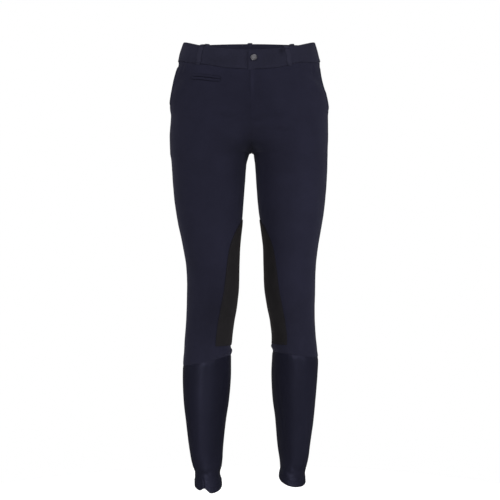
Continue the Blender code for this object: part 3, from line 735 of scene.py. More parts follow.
def crease_height(path, a, b, width, depth):
    """A soft trough or ridge along the path, fading at its ends, with a low bank beside it."""
    pad = 4 * width
    low, high = path.min(0) - pad, path.max(0) + pad
    near = (a > low[0]) & (a < high[0]) & (b > low[1]) & (b < high[1])
    out = np.zeros_like(a)
    if not near.any():
        return out
    p = np.stack([a[near], b[near]], -1)
    best = np.full(len(p), np.inf)
    share = np.zeros(len(p))
    steps = len(path) - 1
    for k in range(steps):
        p0, d = path[k], path[k + 1] - path[k]
        along = np.clip(((p - p0) @ d) / (d @ d), 0.0, 1.0)
        far = np.linalg.norm(p - p0 - along[:, None] * d, axis=-1)
        share = np.where(far < best, (k + along) / steps, share)
        best = np.minimum(far, best)
    r = best / width
    fade = np.clip(4 * share * (1 - share), 0, 1) ** CREASE_FADE
    bank, place, bank_width = BANK
    out[near] = depth * fade * (bell(r) - bank * bell((r - place) / bank_width))
    return out


def crease_table():
    """Every crease as (side, path in (arc, height), width, depth)."""
    made = []
    for front, table in ((True, FRONT_CREASES), (False, BACK_CREASES)):
        for x0, z0, x1, z1, x2, z2, width, depth in table:
            side = RIGHT if x0 + x1 + x2 < 0 else LEFT
            ends = []
            for x, z in ((x0, z0), (x1, z1), (x2, z2)):
                away = side * (x * MM - middle_line(z * MM))
                t = angle_at(side, max(away, SEWN_GAP), z * MM, front)
                ends.append((float(t) * ARC_RADIUS, z * MM))
            made.append((side, crease_path(ends), width * MM, depth * CREASE_DEPTH * MM))
    for side, t0, z0, t1, z1, t2, z2, width, depth in LEG_CREASES:
        ends = [(math.radians(t) * ARC_RADIUS, z * MM) for t, z in ((t0, z0), (t1, z1), (t2, z2))]
        made.append((side, crease_path(ends), width * MM, depth * MM))
    return made


CREASES = crease_table()


def unevenness(side, t, z):
    """A slow, slight waviness of cloth on a form."""
    a = t * ARC_RADIUS / MM
    h = z / MM + side * SIDES_APART
    out = 0.0
    for rise, *waves in WAVES:
        first, second = (np.sin(a / round_leg + h / up + start) for round_leg, up, start in waves)
        out = out + rise * MM * first * second
    return out


def leg_form(side, t, z):
    """A rounder knee, hollower beneath, and a calf that is fuller at its outer front."""
    (top, top_fade), (foot, foot_fade) = CALF_TOP_FADE, CALF_FOOT_FADE
    below = ease((top - z) / top_fade) * (1 - ease((foot - z) / foot_fade))
    out = CALF_TURN * below * np.sin(2 * t)
    for which, at, height, reach, rise in KNEES:
        here = bell((t - math.radians(at)) / KNEE_TURN) * bell((z - height * MM) / (reach * MM))
        out = out + np.where(side == which, rise * MM * here, 0.0)
    return out


def relief(side, t, z):
    """How far the cloth stands off the skin."""
    side, t, z = spread(side, t, z)
    out = unevenness(side, t, z) + leg_form(side, t, z)
    for which, path, width, depth in CREASES:
        mine = side == which
        if mine.any():
            for turn in (0, 1, -1):
                arc = (t + turn * 2 * math.pi) * ARC_RADIUS
                out = out + np.where(mine, crease_height(path, arc, z, width, depth), 0.0)
    return out


def puckers(x, kind, start=0.0):
    """A row of puckers of uneven pitch and height."""
    fast, wander, slow, share, swell = PUCKERS[kind]
    return (np.sin(x * fast + wander * np.sin(x * slow))
            * (1 - share + share * np.sin(x * swell + start)))


def drawn_in(far, ripple, groove):
    """The hollow at this distance from a seam, and the puckers beside it."""
    depth, width, rise, reach = groove
    return depth * bell(far / width) + rise * ripple * bell(far / reach)


def fly_relief(side, t, z, near):
    """The lapped edge of the left front, and the groove along its J-shaped stitching."""
    away = np.abs(skin(side, t, z)[..., 0] - middle_line(z))
    near = near & (away < FLY_REACH)
    inner, outer = FLY_STEP_WIDTH
    (dip, dip_start, dip_width), (roll, roll_place, roll_width) = FLY_DIP, FLY_ROLL
    step = np.where(side == LEFT, FLY_STEP * (1 - ease((away - inner) / (outer - inner)))
                    + roll * bell((away - roll_place) / roll_width),
                    dip * (1 - ease((away - dip_start) / dip_width)))
    out = np.where(near, step * ease((z - FLY_END) / FLY_END_FADE), 0.0)
    line = smooth_line(FLY_STITCHING, 60) * MM
    mine = near & (side == LEFT)
    p = np.stack([away[mine] + middle_line(z[mine]), z[mine]], -1)
    far = np.sqrt(((p[:, None, :] - line[None, :, :]) ** 2).sum(-1)).min(1)
    out[mine] -= sum(depth * bell((far - place) / width) for depth, place, width in FLY_GROOVES)
    return out


def seam_relief(side, t, z, inseam=1.0):
    """The hollow along each seam, its puckers, the side pocket's lip and the fly's lapped edge."""
    side, t, z = spread(side, t, z)
    length = turn_length(side, t, z)
    front = t >= 0
    ripple = puckers(z, "seam")
    # the side seam and, along the mouth of its pocket, the front's lip over the back's edge
    far = np.abs(t - SEAM_ANGLE(z)) * length
    bottom = by_side(side, MOUTH_BOTTOM)
    mouth = ease((MOUTH_TOP - z) / MOUTH_FADE) * ease((z - bottom) / MOUTH_FADE)
    lip = np.where(t > SEAM_ANGLE(z), MOUTH_LIFT * bell(far / MOUTH_REACH), MOUTH_SINK)
    above = z > calf_seam(side, t)
    out = np.where(above, drawn_in(far, ripple, SIDE_GROOVE) * (1 - mouth) + lip * mouth, 0.0)
    # the centre seams and inseams
    inner_end = np.where(z > CROTCH, np.abs(angle_at(side, SEWN_GAP, z, front)), math.pi)
    far = np.abs(np.abs(t) - inner_end) * length
    deep = np.where(z > CROTCH, np.where(front, *CENTRE_GROOVES), inseam)
    out += deep * drawn_in(far, ripple, INNER_GROOVE)
    out += drawn_in(np.abs(z - waist_line(side, t)), puckers(t, "waist", side), WAIST_GROOVE)
    near = front & (z > FLY_END - 0.01)
    if near.any():
        out += fly_relief(side, t, z, near)
    depth, widths, rise, reach = CALF_GROOVE
    out += drawn_in(np.abs(z - calf_seam(side, t)), puckers(t, "calf", side),
                    (depth, np.where(above, *widths), rise, reach))
    return out


def surface(side, t, z, lift=0.0, inseam=1.0):
    """Points of the cloth with its relief, lifted, and the directions out of it."""
    out = skin_normal(side, t, z)
    height = relief(side, t, z) + seam_relief(side, t, z, inseam) + lift
    base = skin(side, t, z)
    points = base + out * height[..., None]
    # the centre seams stay in the middle plane
    side, t, z = spread(side, t, z)
    seam = np.abs(angle_at(side, SEWN_GAP, z, t >= 0))
    away = np.abs(seam - np.abs(t)) * turn_length(side, t, z)
    held = np.where(z > CROTCH - HELD_BELOW, bell(away / HELD_REACH), 0.0)
    points[..., 0] += (base[..., 0] - points[..., 0]) * held
    return points, out


# ---------------------------------------------------------------------------------------------
# Meshes


def link(name, points, faces, material, uv=None, sharp=60):
    """A new smooth piece on the part's one body."""
    points = np.asarray(points).reshape(-1, 3)
    mesh = bpy.data.meshes.new(name)
    mesh.from_pydata([tuple(p) for p in points], [], [tuple(int(i) for i in f) for f in faces])
    if uv is not None:
        layer = mesh.uv_layers.new(name="Cloth")
        index = np.empty(len(mesh.loops), np.int32)
        mesh.loops.foreach_get("vertex_index", index)
        layer.uv.foreach_set("vector", np.asarray(uv)[index].astype(np.float32).ravel())
    mesh.calc_loop_triangles()
    corners = np.empty(3 * len(mesh.loop_triangles), np.int32)
    mesh.loop_triangles.foreach_get("vertices", corners)
    a, b, c = (points[corners[k::3]] for k in range(3))
    if (a * np.cross(b, c)).sum() < 0:
        mesh.flip_normals()
    mesh.shade_smooth()
    mesh.set_sharp_from_angle(angle=math.radians(sharp))
    mesh.materials.append(material)
    piece = bpy.data.objects.new(name, mesh)
    bpy.context.scene.collection.objects.link(piece)
    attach(piece, "root")
    return piece


def grid_faces(rows, columns, closed):
    i, j = np.meshgrid(np.arange(rows - 1), np.arange(columns if closed else columns - 1),
                       indexing="ij")
    a = i * columns + j
    b = i * columns + (j + 1) % columns
    return np.stack([a, b, b + columns, a + columns], -1).reshape(-1, 4)


def tube_faces(rows, columns):
    """Faces over a row of rings, with both ends closed."""
    end = np.arange(columns)
    return [*grid_faces(rows, columns, True), end[::-1], end + (rows - 1) * columns]


def cloth_uv(points):
    """Metres across and down a grid of points."""
    u = run_along(points, 1) + points[:, :1, 0]
    return np.stack([u, points[..., 2]], -1).reshape(-1, 2)


def shell(name, points, out, thickness, material, closed=False):
    """A thin cloth wall with rims, its outside on the points."""
    rows, columns = points.shape[:2]
    inside = points - out * np.asarray(thickness)[..., None]
    count = rows * columns
    face = grid_faces(rows, columns, closed)
    spans = np.arange(columns if closed else columns - 1)
    top = np.stack([spans, (spans + 1) % columns], -1)
    border = [top, top[:, ::-1] + (rows - 1) * columns]
    if not closed:
        down = np.arange(rows - 1) * columns
        border.append(np.stack([down + columns, down], -1))
        border.append(np.stack([down + columns - 1, down + 2 * columns - 1], -1))
    border = np.concatenate(border)
    rims = np.stack([border[:, 1], border[:, 0], border[:, 0] + count, border[:, 1] + count], -1)
    uv = cloth_uv(points)
    return link(name, np.concatenate([points.reshape(-1, 3), inside.reshape(-1, 3)]),
                np.concatenate([face, face[:, ::-1] + count, rims]), material,
                np.concatenate([uv, uv + INSIDE_UV_SHIFT]))


def centre_rows(front):
    """Heights of the rows along a centre seam."""
    height, power = ((FRONT_CURVE_HEIGHT, FRONT_CURVE_POWER) if front
                     else (BACK_CURVE_HEIGHT, BACK_CURVE_POWER))
    top = float(waist_seam(QUARTER if front else -QUARTER)) - SEAM_GAP
    curve_top = CROTCH + height
    heights = [top + (curve_top - top) * i / STRAIGHT_ROWS for i in range(STRAIGHT_ROWS + 1)]
    square = float(SQUARENESS(CROTCH))
    for degrees in CENTRE_SEAM_ANGLES:
        bend = (-math.cos(math.radians(degrees))) ** (2 / square)
        heights.append(CROTCH + height * (1 - bend ** (1 / power)))
    return heights + [CROTCH]


def panel_rows(front):
    """Height of each row at the side seam and at the centre seam or inseam."""
    upper = centre_rows(front)
    top = float(waist_seam(0.0)) - SEAM_GAP
    rows = [(top + (CROTCH - top) * i / (len(upper) - 1), z) for i, z in enumerate(upper)]
    return np.array(rows + [(a * MM, b * MM) for a, b in LEG_ROWS])


def finer_rows(front):
    """Rows a few millimetres apart, as (place in the table, height at side, at inseam)."""
    rows = panel_rows(front)
    places = [0.0]
    for i, reach in enumerate(-np.diff(rows, axis=0).min(1)):
        start = 0.0
        if i == 0:
            places += [step / reach for step in EDGE_STEPS[1:]]
            start = EDGE_STEPS[-1] / reach
        steps = max(int(round(reach * (1 - start) / ROW_STEP)), 1)
        places += [i + start + (1 - start) * k / steps for k in range(1, steps + 1)]
    places = np.array(places)
    return (places, *(np.interp(places, np.arange(len(rows)), rows[:, k]) for k in (0, 1)))


def row_angles(side, front, side_z, inner_z):
    """Angles of a row at the side seam, the patch's edge and the centre seam or inseam."""
    facing = 1 if front else -1
    start = SEAM_ANGLE(side_z)
    start = start + facing * SEWN_GAP / turn_length(side, start, side_z)
    above = inner_z > CROTCH
    shift = SEWN_GAP / turn_length(side, 3.0, inner_z)
    end = np.where(above, angle_at(side, SEWN_GAP, inner_z, front), facing * (math.pi - shift))
    edge = np.where(above, start + (end - start) * PATCH_SHARE,
                    facing * PATCH_SIDE[front](inner_z))
    return start, edge, end


def row_place(start, edge, end, side_z, inner_z, u):
    """Angle and height at share u of each row."""
    start, edge, end, side_z, inner_z = (v[:, None] for v in (start, edge, end, side_z, inner_z))
    first = start + (edge - start) * u / PATCH_SHARE
    second = edge + (end - edge) * (u - PATCH_SHARE) / (1 - PATCH_SHARE)
    t = np.where(u < PATCH_SHARE, first, second)
    return t, side_z + (inner_z - side_z) * np.sin(u * QUARTER) ** 2


def panel_grid(side, front):
    """Angles and heights over a panel, close together along its edges."""
    places, side_z, inner_z = finer_rows(front)
    row = (*row_angles(side, front, side_z, inner_z), side_z, inner_z)
    coarse = np.linspace(0.0, 1.0, 41)      # even shares, to measure each row's cloth with
    run = run_along(skin(side, *row_place(*row, coarse[None, :])), 1)
    edges = np.array(EDGE_STEPS)
    u = np.empty((len(places), 2 * len(edges) + PANEL_COLUMNS))
    for i, whole in enumerate(run[:, -1]):
        scale = min(1.0, whole / (4 * edges[-1]))
        inner = np.linspace(edges[-1] * scale, whole - edges[-1] * scale, PANEL_COLUMNS + 2)[1:-1]
        at = np.concatenate([edges * scale, inner, whole - edges[::-1] * scale])
        u[i] = np.interp(at, run[i], coarse)
    t, z = row_place(*row, u)
    top = np.clip(places, 0, 1)[:, None]
    z = (waist_line(side, t) - SEAM_GAP) * (1 - top) + z * top
    # down to the calf seam
    levels = np.array(LAST_ROWS)[:, None]
    seam = calf_seam(side, t[-1]) + SEWN_GAP
    return (np.concatenate([t, np.repeat(t[-1:], len(levels), 0)]),
            np.concatenate([z, z[-1] + (seam - z[-1]) * levels]))


def run_on(points, out, side, t, edge, depth, follow=0.0):
    """Adds the seam allowance above a piece's top edge, behind the next piece and its relief."""
    rows = []
    for up, more in ((ALLOWANCE, 0.00005), (0.0001, 0.0)):
        facing = skin_normal(side, t, edge + up)
        height = follow * relief(side, t, edge + up) - depth - more
        rows.append((skin(side, t, edge + up) + facing * height[..., None], facing))
    return (np.concatenate([[row[0] for row in rows], points]),
            np.concatenate([[row[1] for row in rows], out]))


def paint_light_shade_and_wear(piece, points, tones, faces=2):
    """Soft painted light and shade, with some wear, on a shell's cloth, as a change of colour at
    its points.
    """
    x, z = points[..., 0].ravel(), points[..., 2].ravel()
    change = np.zeros(len(x))
    for at_x, at_z, across, up, share in tones:
        change += share * bell((x - at_x * MM) / (across * MM)) * bell((z - at_z * MM) / (up * MM))
    layer = piece.data.attributes.new("LightShadeAndWear", "FLOAT", "POINT")
    layer.data.foreach_set("value", np.tile(change, faces).astype(np.float32))


def build_panel(side, front, material):
    """A front or back, from under the band to the calf seam."""
    node = ("front_" if front else "back_") + WORD[side]
    t, z = panel_grid(side, front)
    points, out = surface(side, t, z)
    edge = waist_line(side, t[0])
    points, out = run_on(points, out, side, t[0], edge, BAND_THICKNESS + SEAM_GAP)
    piece = shell("cloth_" + node, points, out, PANEL_THICKNESS, material)
    # painted light and shade, and some wear, on the fronts
    if front:
        paint_light_shade_and_wear(piece, points, TWILL_LIGHT_SHADE_AND_WEAR)
    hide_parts(node)
    return piece


def build_centre_allowance(material):
    """The centre seam's allowance, pressed open inside from below the fly round to the back."""
    fork = CROTCH + 0.0002
    front, back = (np.linspace(*ends) for ends in ((ALLOWANCE_ENDS[0], fork, 60),
                                                   (fork, ALLOWANCE_ENDS[1], 90)))
    rows = [surface(RIGHT, angle_at(RIGHT, SEWN_GAP, z, facing), z)[0]
            for z, facing in ((front, True), (back, False))]
    line = np.concatenate([rows[0], rows[1][1:]])
    line[:, 0] = middle_line(line[:, 2])
    along = unit(np.gradient(line, axis=0))
    level = np.broadcast_to(np.array([1.0, 0.0, 0.0]), line.shape)
    across = unit(level - along * (level * along).sum(-1, keepdims=True))
    out = unit(np.cross(along, across))
    out *= -np.sign(out[0, 1])
    centre = line - out * (PANEL_THICKNESS + ALLOWANCE_THICKNESS)
    return strip("centre_seam_allowance", centre, across, out, CENTRE_ALLOWANCE_WIDTH,
                 ALLOWANCE_THICKNESS, material, flat=0.5)


def build_mouth_allowance(side, material):
    """The back's allowance behind the mouth of a side pocket, which closes it from inside."""
    z = np.linspace(MOUTH_TOP + 0.0005, MOUTH_BOTTOM[side] - MOUTH_ALLOWANCE_MORE, 60)
    points, out = surface(side, SEAM_ANGLE(z), z)
    centre = points - out * (PANEL_THICKNESS + MOUTH_ALLOWANCE_GAP)
    across = unit(np.cross(out, np.gradient(centre, axis=0)))
    return strip("mouth_allowance_" + WORD[side], centre, across, out, MOUTH_ALLOWANCE_WIDTH,
                 ALLOWANCE_THICKNESS, material, flat=0.5)


def patch_half(side, front):
    """Angles and heights over the front or back half of a patch, and each row's share."""
    rows = panel_rows(front)
    index = np.arange(len(rows))
    first, last = (np.interp(-height, -rows[:, 1], index) for height in (PATCH_TOP, PATCH_BOTTOM))
    edge = np.array(EDGE_STEPS) / (PATCH_TOP - PATCH_BOTTOM)
    levels = np.concatenate([edge, np.linspace(edge[-1], 1 - edge[-1], PATCH_ROWS)[1:-1],
                             1 - edge[::-1]])
    places = first + (last - first) * levels
    side_z, inner_z = (np.interp(places, index, rows[:, k]) for k in (0, 1))
    start, line, end = row_angles(side, front, side_z, inner_z)
    end = np.full_like(end, math.pi if front else -math.pi)
    width = np.abs(end - line) * turn_length(side, (line + end) / 2, inner_z)
    u = []
    for across in width:
        near = np.minimum(EDGE_STEPS, across * PATCH_EDGE_SHARE * np.arange(len(EDGE_STEPS)))
        at = np.concatenate([near, np.linspace(near[-1], across, PATCH_COLUMNS + 1)[1:]])
        u.append(PATCH_SHARE + (1 - PATCH_SHARE) * at / across)
    return (*row_place(start, line, end, side_z, inner_z, np.array(u)), levels)


def build_patch(side, material, thread):
    """The suede patch over the inside of the knee, its edges turned down to the cloth."""
    word = WORD[side]
    halves = [patch_half(side, front) for front in (True, False)]
    t, z = (np.concatenate([halves[0][k], halves[1][k][:, -2::-1]], 1) for k in (0, 1))
    levels = halves[0][2]
    points, out = surface(side, t, z, PATCH_LIFT + PATCH_THICKNESS, PATCH_INSEAM)
    # the edge is pressed down, and once more by its stitching
    run = run_along(points, 1)
    near = np.minimum(run, run[:, -1:] - run)
    drop = (PATCH_TOP - PATCH_BOTTOM) * np.minimum(levels, 1 - levels)[:, None]
    near = np.minimum(near, drop)
    pressed = sum(depth * bell((near - at) / reach) for depth, at, reach in PATCH_PRESS)
    points = points - out * pressed[..., None]
    piece = shell("suede_patch_" + word, points, out, PATCH_THICKNESS - pressed, material)
    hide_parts("knee_patch_" + word)
    k = PATCH_STITCH_ROW
    sewn = [stitch_line("patch_%s_stitches_%s" % (word, name), points[line], out[line],
                        thread, sink=-0.00005)
            for name, line in (("front", np.s_[k:-k, k]), ("back", np.s_[k:-k, -k - 1]),
                               ("top", np.s_[k, k:-k]), ("bottom", np.s_[-k - 1, k:-k]))]
    return piece, sewn


def build_calf(side, material, thread):
    """The satin tube from the calf seam to the open hem."""
    t = (-math.pi + 2 * math.pi * np.arange(CALF_AROUND) / CALF_AROUND)[None, :]
    top = calf_seam(side, t) - SEWN_GAP
    hem = HEM_HEIGHT[side](np.where(t >= HEM_START, t, t + 2 * math.pi))
    near = np.array(CALF_TOP_STEPS) * MM / CALF_LENGTH
    foot = 1 - np.array(HEM_STEPS) * MM / CALF_LENGTH
    share = np.concatenate([near, np.linspace(near[-1], foot[0], CALF_ROWS)[1:-1], foot])[:, None]
    z = top + (hem - top) * share
    t = np.broadcast_to(t, z.shape)
    points, out = surface(side, t, z)
    up = z - hem
    # the hem is turned up: a little thicker, its edge rounded, with three rows of stitching
    (groove, groove_width), (edge, edge_width), (rise, reach) = HEM_GROOVE, HEM_EDGE, HEM_WAVE
    turned = (HEM_FOLD * ease((HEM_DEPTH - up) / HEM_FOLD_FADE) + edge * bell(up / edge_width)
              - groove * sum(bell((up - at) / groove_width) for at in HEM_ROWS))
    wave = rise * puckers(t, "hem") * bell((up - HEM_DEPTH / 2) / reach)
    points = points + out * (turned + wave)[..., None]
    thick = CALF_THICKNESS + np.maximum(turned, 0)
    body, facing = run_on(points, out, side, t[0], top[0], PANEL_THICKNESS + 0.0006, 1.0)
    piece = shell("cloth_calf_" + WORD[side], body, facing,
                  np.concatenate([thick[:1], thick[:1], thick]), material, closed=True)
    # painted highlights and shade on the satin
    paint_light_shade_and_wear(piece, body, SATIN_PAINTED_LIGHT)
    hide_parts("calf_" + WORD[side])
    sewn = []
    for k, at in enumerate(HEM_ROWS):
        row = int(np.argmin(np.abs((up - at).mean(1))))
        share = ((hem + at - z[row - 1]) / (z[row + 1] - z[row - 1]))[0][:, None]
        line = points[row - 1] + (points[row + 1] - points[row - 1]) * share
        line, facing = (np.concatenate([v, v[:1]]) for v in (line, out[row]))
        sewn.append(stitch_line("hem_%s_stitches_%d" % (WORD[side], k), line, facing, thread,
                                sink=-0.00002))
    return piece, sewn


def band_turns():
    """Sides and angles along the band, from its lapped end to the end beneath, and how far each
    is tucked in under the lapped end."""
    lap = float(angle_at(LEFT, UNDERLAP_REACH, BAND_SEAM_SIDE))
    tab = float(angle_at(RIGHT, TAB_REACH, BAND_SEAM_SIDE))
    turns = [(RIGHT, tab + (QUARTER - tab) * share, 0.0) for share in TAB_SHARES]
    turns += [(LEFT, QUARTER - math.pi * i / BAND_STEPS, 0.0) for i in range(BAND_STEPS)]
    for i in range(BAND_STEPS):
        t = -QUARTER + math.pi * i / BAND_STEPS
        x = float(skin(RIGHT, t, BAND_SEAM_SIDE)[0])
        sunk = float(ease((x + TUCK_REACH) / (TUCK_REACH - TAB_REACH)))
        turns.append((RIGHT, t, TAB_TUCK * sunk))
    for i in range(UNDER_STEPS + 1):
        turns.append((LEFT, QUARTER + (lap - QUARTER) * i / UNDER_STEPS,
                      TAB_TUCK + (1 - TAB_TUCK) * float(ease(i / TUCK_ROWS))))
    side, t, tuck = (np.array(values) for values in zip(*turns))
    return side, t, tuck


def band_folds(side, t, z, top):
    out = 0.0
    for which, at, below, reach, height, rise in BAND_FOLDS:
        across = bell((t - math.radians(at)) / math.radians(reach)) * (side == which)
        out = out + across[:, None] * bell((top - z - below * MM) / (height * MM)) * rise * MM
    return out


def build_band(material):
    """The waistband: one rounded section carried round the waist, closed at both ends."""
    side, t, tuck = band_turns()
    level, extra, depth = np.array(BAND_PROFILE).T * [[1], [MM], [MM]]
    x = skin(side, t, TAB_LEVEL)[:, 0]
    lapped = np.arange(len(t)) < LAPPED_ROWS
    roll = np.where(lapped, ease(1 - (x + TAB_REACH) / TAB_ROLL), 0.0)
    below, above = (corner * roll ** 3 for corner in TAB_CORNERS)
    start, fade = TAB_DROP_FADE
    drop = np.where(lapped, TAB_DROP * ease((start - x) / fade), 0.0) - below
    foot = (waist_line(side, t) - drop)[:, None]
    top = (waist_seam(t) + BAND_HEIGHT)[:, None]
    z = foot + (top - above[:, None] - foot) * level + extra
    s, a, _ = spread(side[:, None], t[:, None], z)
    out = skin_normal(s, a, z)
    # soft unevenness of the outside, which the inside doesn't follow
    rise, start, fade = TAB_STAND
    tab = np.where(lapped, ease((start - x) / fade), 0.0) * rise
    rise, waves, start = BAND_WAVE
    bulge = rise * np.sin(t * waves + start)[:, None] * np.sin(np.clip(level, 0, 1) * math.pi)
    (dip, place, width), (rise, reach) = BAND_PINCH, BAND_PUCKERS
    pinch = (dip * bell((z - foot - place) / width)
             + rise * puckers(t, "band", 1)[:, None] * bell((z - foot) / reach))
    deepest, fade = BAND_FACE
    lift = (bulge + BAND_LIFT + tab[:, None] + pinch + band_folds(side, t, z, top)
            ) * ease((deepest - depth) / fade)
    lift = lift - depth * (1 - TAB_THIN * roll)[:, None] - TAB_SINK * roll[:, None]
    lift = lift - tuck[:, None] * (BAND_THICKNESS + SEAM_GAP)
    points = skin(s, a, z) + out * lift[..., None]
    run = run_along(points[:, 6])[:, None]
    uv = np.stack([np.broadcast_to(run, z.shape), z], -1).reshape(-1, 2)
    piece = link("cloth_waistband", points, tube_faces(*z.shape), material, uv)
    # painted light and shade, and mottling, on the band
    paint_light_shade_and_wear(piece, points, BAND_LIGHT_SHADE_AND_MOTTLE, faces=1)
    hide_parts("waistband")
    return piece


def strip(name, centre, across, out, width, thickness, material, dip=0.0, flat=0.30):
    """A narrow rounded strip along a line of points; dip sinks a groove near each edge."""
    angle = np.linspace(0, 2 * math.pi, STRIP_AROUND, endpoint=False)
    c = np.sign(np.cos(angle)) * np.abs(np.cos(angle)) ** flat
    s = np.sign(np.sin(angle)) * np.abs(np.sin(angle)) ** STRIP_ROUNDING
    place, width_of_it = STRIP_GROOVE
    groove = dip * np.where(s > 0.5, bell((np.abs(c) - place) / width_of_it), 0.0)
    width, thickness = (np.broadcast_to(v, len(centre))[:, None] for v in (width, thickness))
    points = (centre[:, None, :] + across[:, None, :] * (c * width / 2)[..., None]
              + out[:, None, :] * (s * thickness / 2 - groove)[..., None])
    run = np.broadcast_to(run_along(centre)[:, None], points.shape[:2])
    uv = np.stack([c * width / 2, run], -1).reshape(-1, 2)
    piece = link(name, points, tube_faces(*points.shape[:2]), material, uv, sharp=75)
    return piece


def build_loop(name, side, top_angle, foot_angle, material, thread):
    """A belt loop, sewn at its foot and carried over the top of the band."""
    angle = math.radians((top_angle + foot_angle) / 2)
    foot = float(waist_line(side, angle))
    height = float(waist_seam(angle)) + BAND_HEIGHT - foot
    level, more, lift = np.array(LOOP_PATH).T
    up, lift = smooth_line(np.stack([level * height + more * MM, lift * MM], -1), LOOP_ROWS).T
    row = np.arange(LOOP_ROWS)
    share = np.clip(up / height, 0, 1)
    t = np.radians(foot_angle + (top_angle - foot_angle) * share)
    z = foot + up
    out = skin_normal(side, t, z)
    # tacked down at its foot and near its top, where it is drawn in a little
    outside = row < np.argmax(up)
    places = [int(np.argmin(np.where(outside, np.abs(up - at), 1.0)))
              for at in (LOOP_TACKS[0], height - LOOP_TACKS[1])]
    tack, waist = (share * sum(bell((row - place) / width) for place in places)
                   for share, width in (TACK_DENT, TACK_WAIST))
    centre = skin(side, t, z) + out * (lift - tack)[:, None]
    along = unit(np.gradient(centre, axis=0))
    level = unit(np.cross(out, np.array([0.0, 0.0, 1.0])))
    across = unit(level - along * (level * along).sum(-1, keepdims=True))
    facing = unit(np.cross(along, across))
    facing *= np.sign((facing[0] * out[0]).sum())
    piece = strip("cloth_" + name, centre, across, facing, LOOP_WIDTH * (1 - waist),
                  LOOP_THICKNESS, material, dip=0.00022, flat=0.55)
    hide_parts(name)
    sewn = []
    for k, i in enumerate(places):
        along_it = np.linspace(-0.40, 0.40, TACK_STITCHES)[:, None] * LOOP_WIDTH
        spots = centre[i] + across[i] * along_it + facing[i] * (LOOP_THICKNESS / 2 + 0.00005)
        sewn.append(zigzag(name + "_tack_%d" % k, spots, facing[i], along[i], thread))
    return piece, sewn


def front_place(places, lift=0.0):
    """Points of the front's cloth at places across and up, in metres, and directions out of it."""
    x, z = places.T
    side = np.where(x >= middle_line(z), LEFT, RIGHT)
    away = np.maximum(side * (x - middle_line(z)), SEWN_GAP)
    return surface(side, angle_at(side, away, z), z, lift)


def laid(line, up):
    """Points of the front's cloth along a line of places, and the directions across and out."""
    centre, out = front_place(line)
    return centre, unit(front_place(line + up * MM)[0] - centre), out


def behind(x, z, depth):
    """Points behind the fly, on the inside of the fronts."""
    side = np.where(x >= 0, LEFT, RIGHT)
    t = angle_at(side, np.maximum(np.abs(x), SEWN_GAP), z)
    out = skin_normal(side, t, z)
    return skin(side, t, z) + out * (relief(side, t, z) - depth)[..., None], out


def build_fly(material, tape, teeth, thread):
    """The fly's J-shaped stitching, and behind it the zip and the underlap."""
    sewn, zip_rows, strips = [], [], []
    for k, (inward, rows) in enumerate(((0.0, 120), (0.0052, 110))):
        line = smooth_line(FLY_STITCHING, rows) * MM
        line[:, 0] -= inward * ease((line[:, 1] - FLY_END) / FLY_END_FADE)
        points, out = front_place(line)
        sewn.append(stitch_line("fly_stitching_%d" % k, points, out, thread, sink=0.00003))
    # a close tack where the fly ends
    points, out = front_place(np.linspace(*FLY_TACK, 11))
    sewn.append(zigzag("fly_tack", points, out, np.array([0.0, 0.0, 1.0]), thread))
    depth = PANEL_THICKNESS + INSIDE_GAP
    for name, node, (left, right), bottom, extra, cloth, thick, slot in (
            ("cloth_fly_underlap", "fly_underlap", UNDERLAP_SPAN, UNDERLAP_BOTTOM,
             ZIP_THICKNESS + INSIDE_GAP, material, UNDERLAP_THICKNESS, "navy_twill"),
            ("zip_tape", "fly_zip", ZIP_SPAN, ZIP_BOTTOM, 0.0, tape, ZIP_THICKNESS, "zip_tape")):
        x, z = np.meshgrid(np.linspace(left, right, 33), np.linspace(FLY_TOP, bottom, 49))
        points, out = behind(x, z, depth + extra * ease((x - left) / UNDERLAP_FADE))
        edge = np.minimum(np.minimum(x - left, right - x), np.minimum(FLY_TOP - z, z - bottom))
        pressed = 0.0002 * bell((edge - 0.003) / 0.0015)
        piece = shell(name, points - out * pressed[..., None], out, thick - pressed, cloth)
        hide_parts(node)
        strips.append(piece)
    # the zip's two rows of teeth
    rise = np.arange(FLY_TOP - 0.002, ZIP_BOTTOM + 0.003, -TOOTH_PITCH)
    for k, across in enumerate((-0.0007, 0.0007)):
        middle = np.full(len(rise), sum(ZIP_SPAN) / 2 + across)
        points, out = behind(middle, rise - TOOTH_PITCH / 2 * k, depth - 0.0002)
        way = np.array([TOOTH_REACH, 0.0, 0.0])
        row = stitch_mesh("zip_teeth_%d" % k, points - way, points + way, out, 0.00045, teeth)
        zip_rows.append(row)
    return (*strips, sewn, zip_rows)


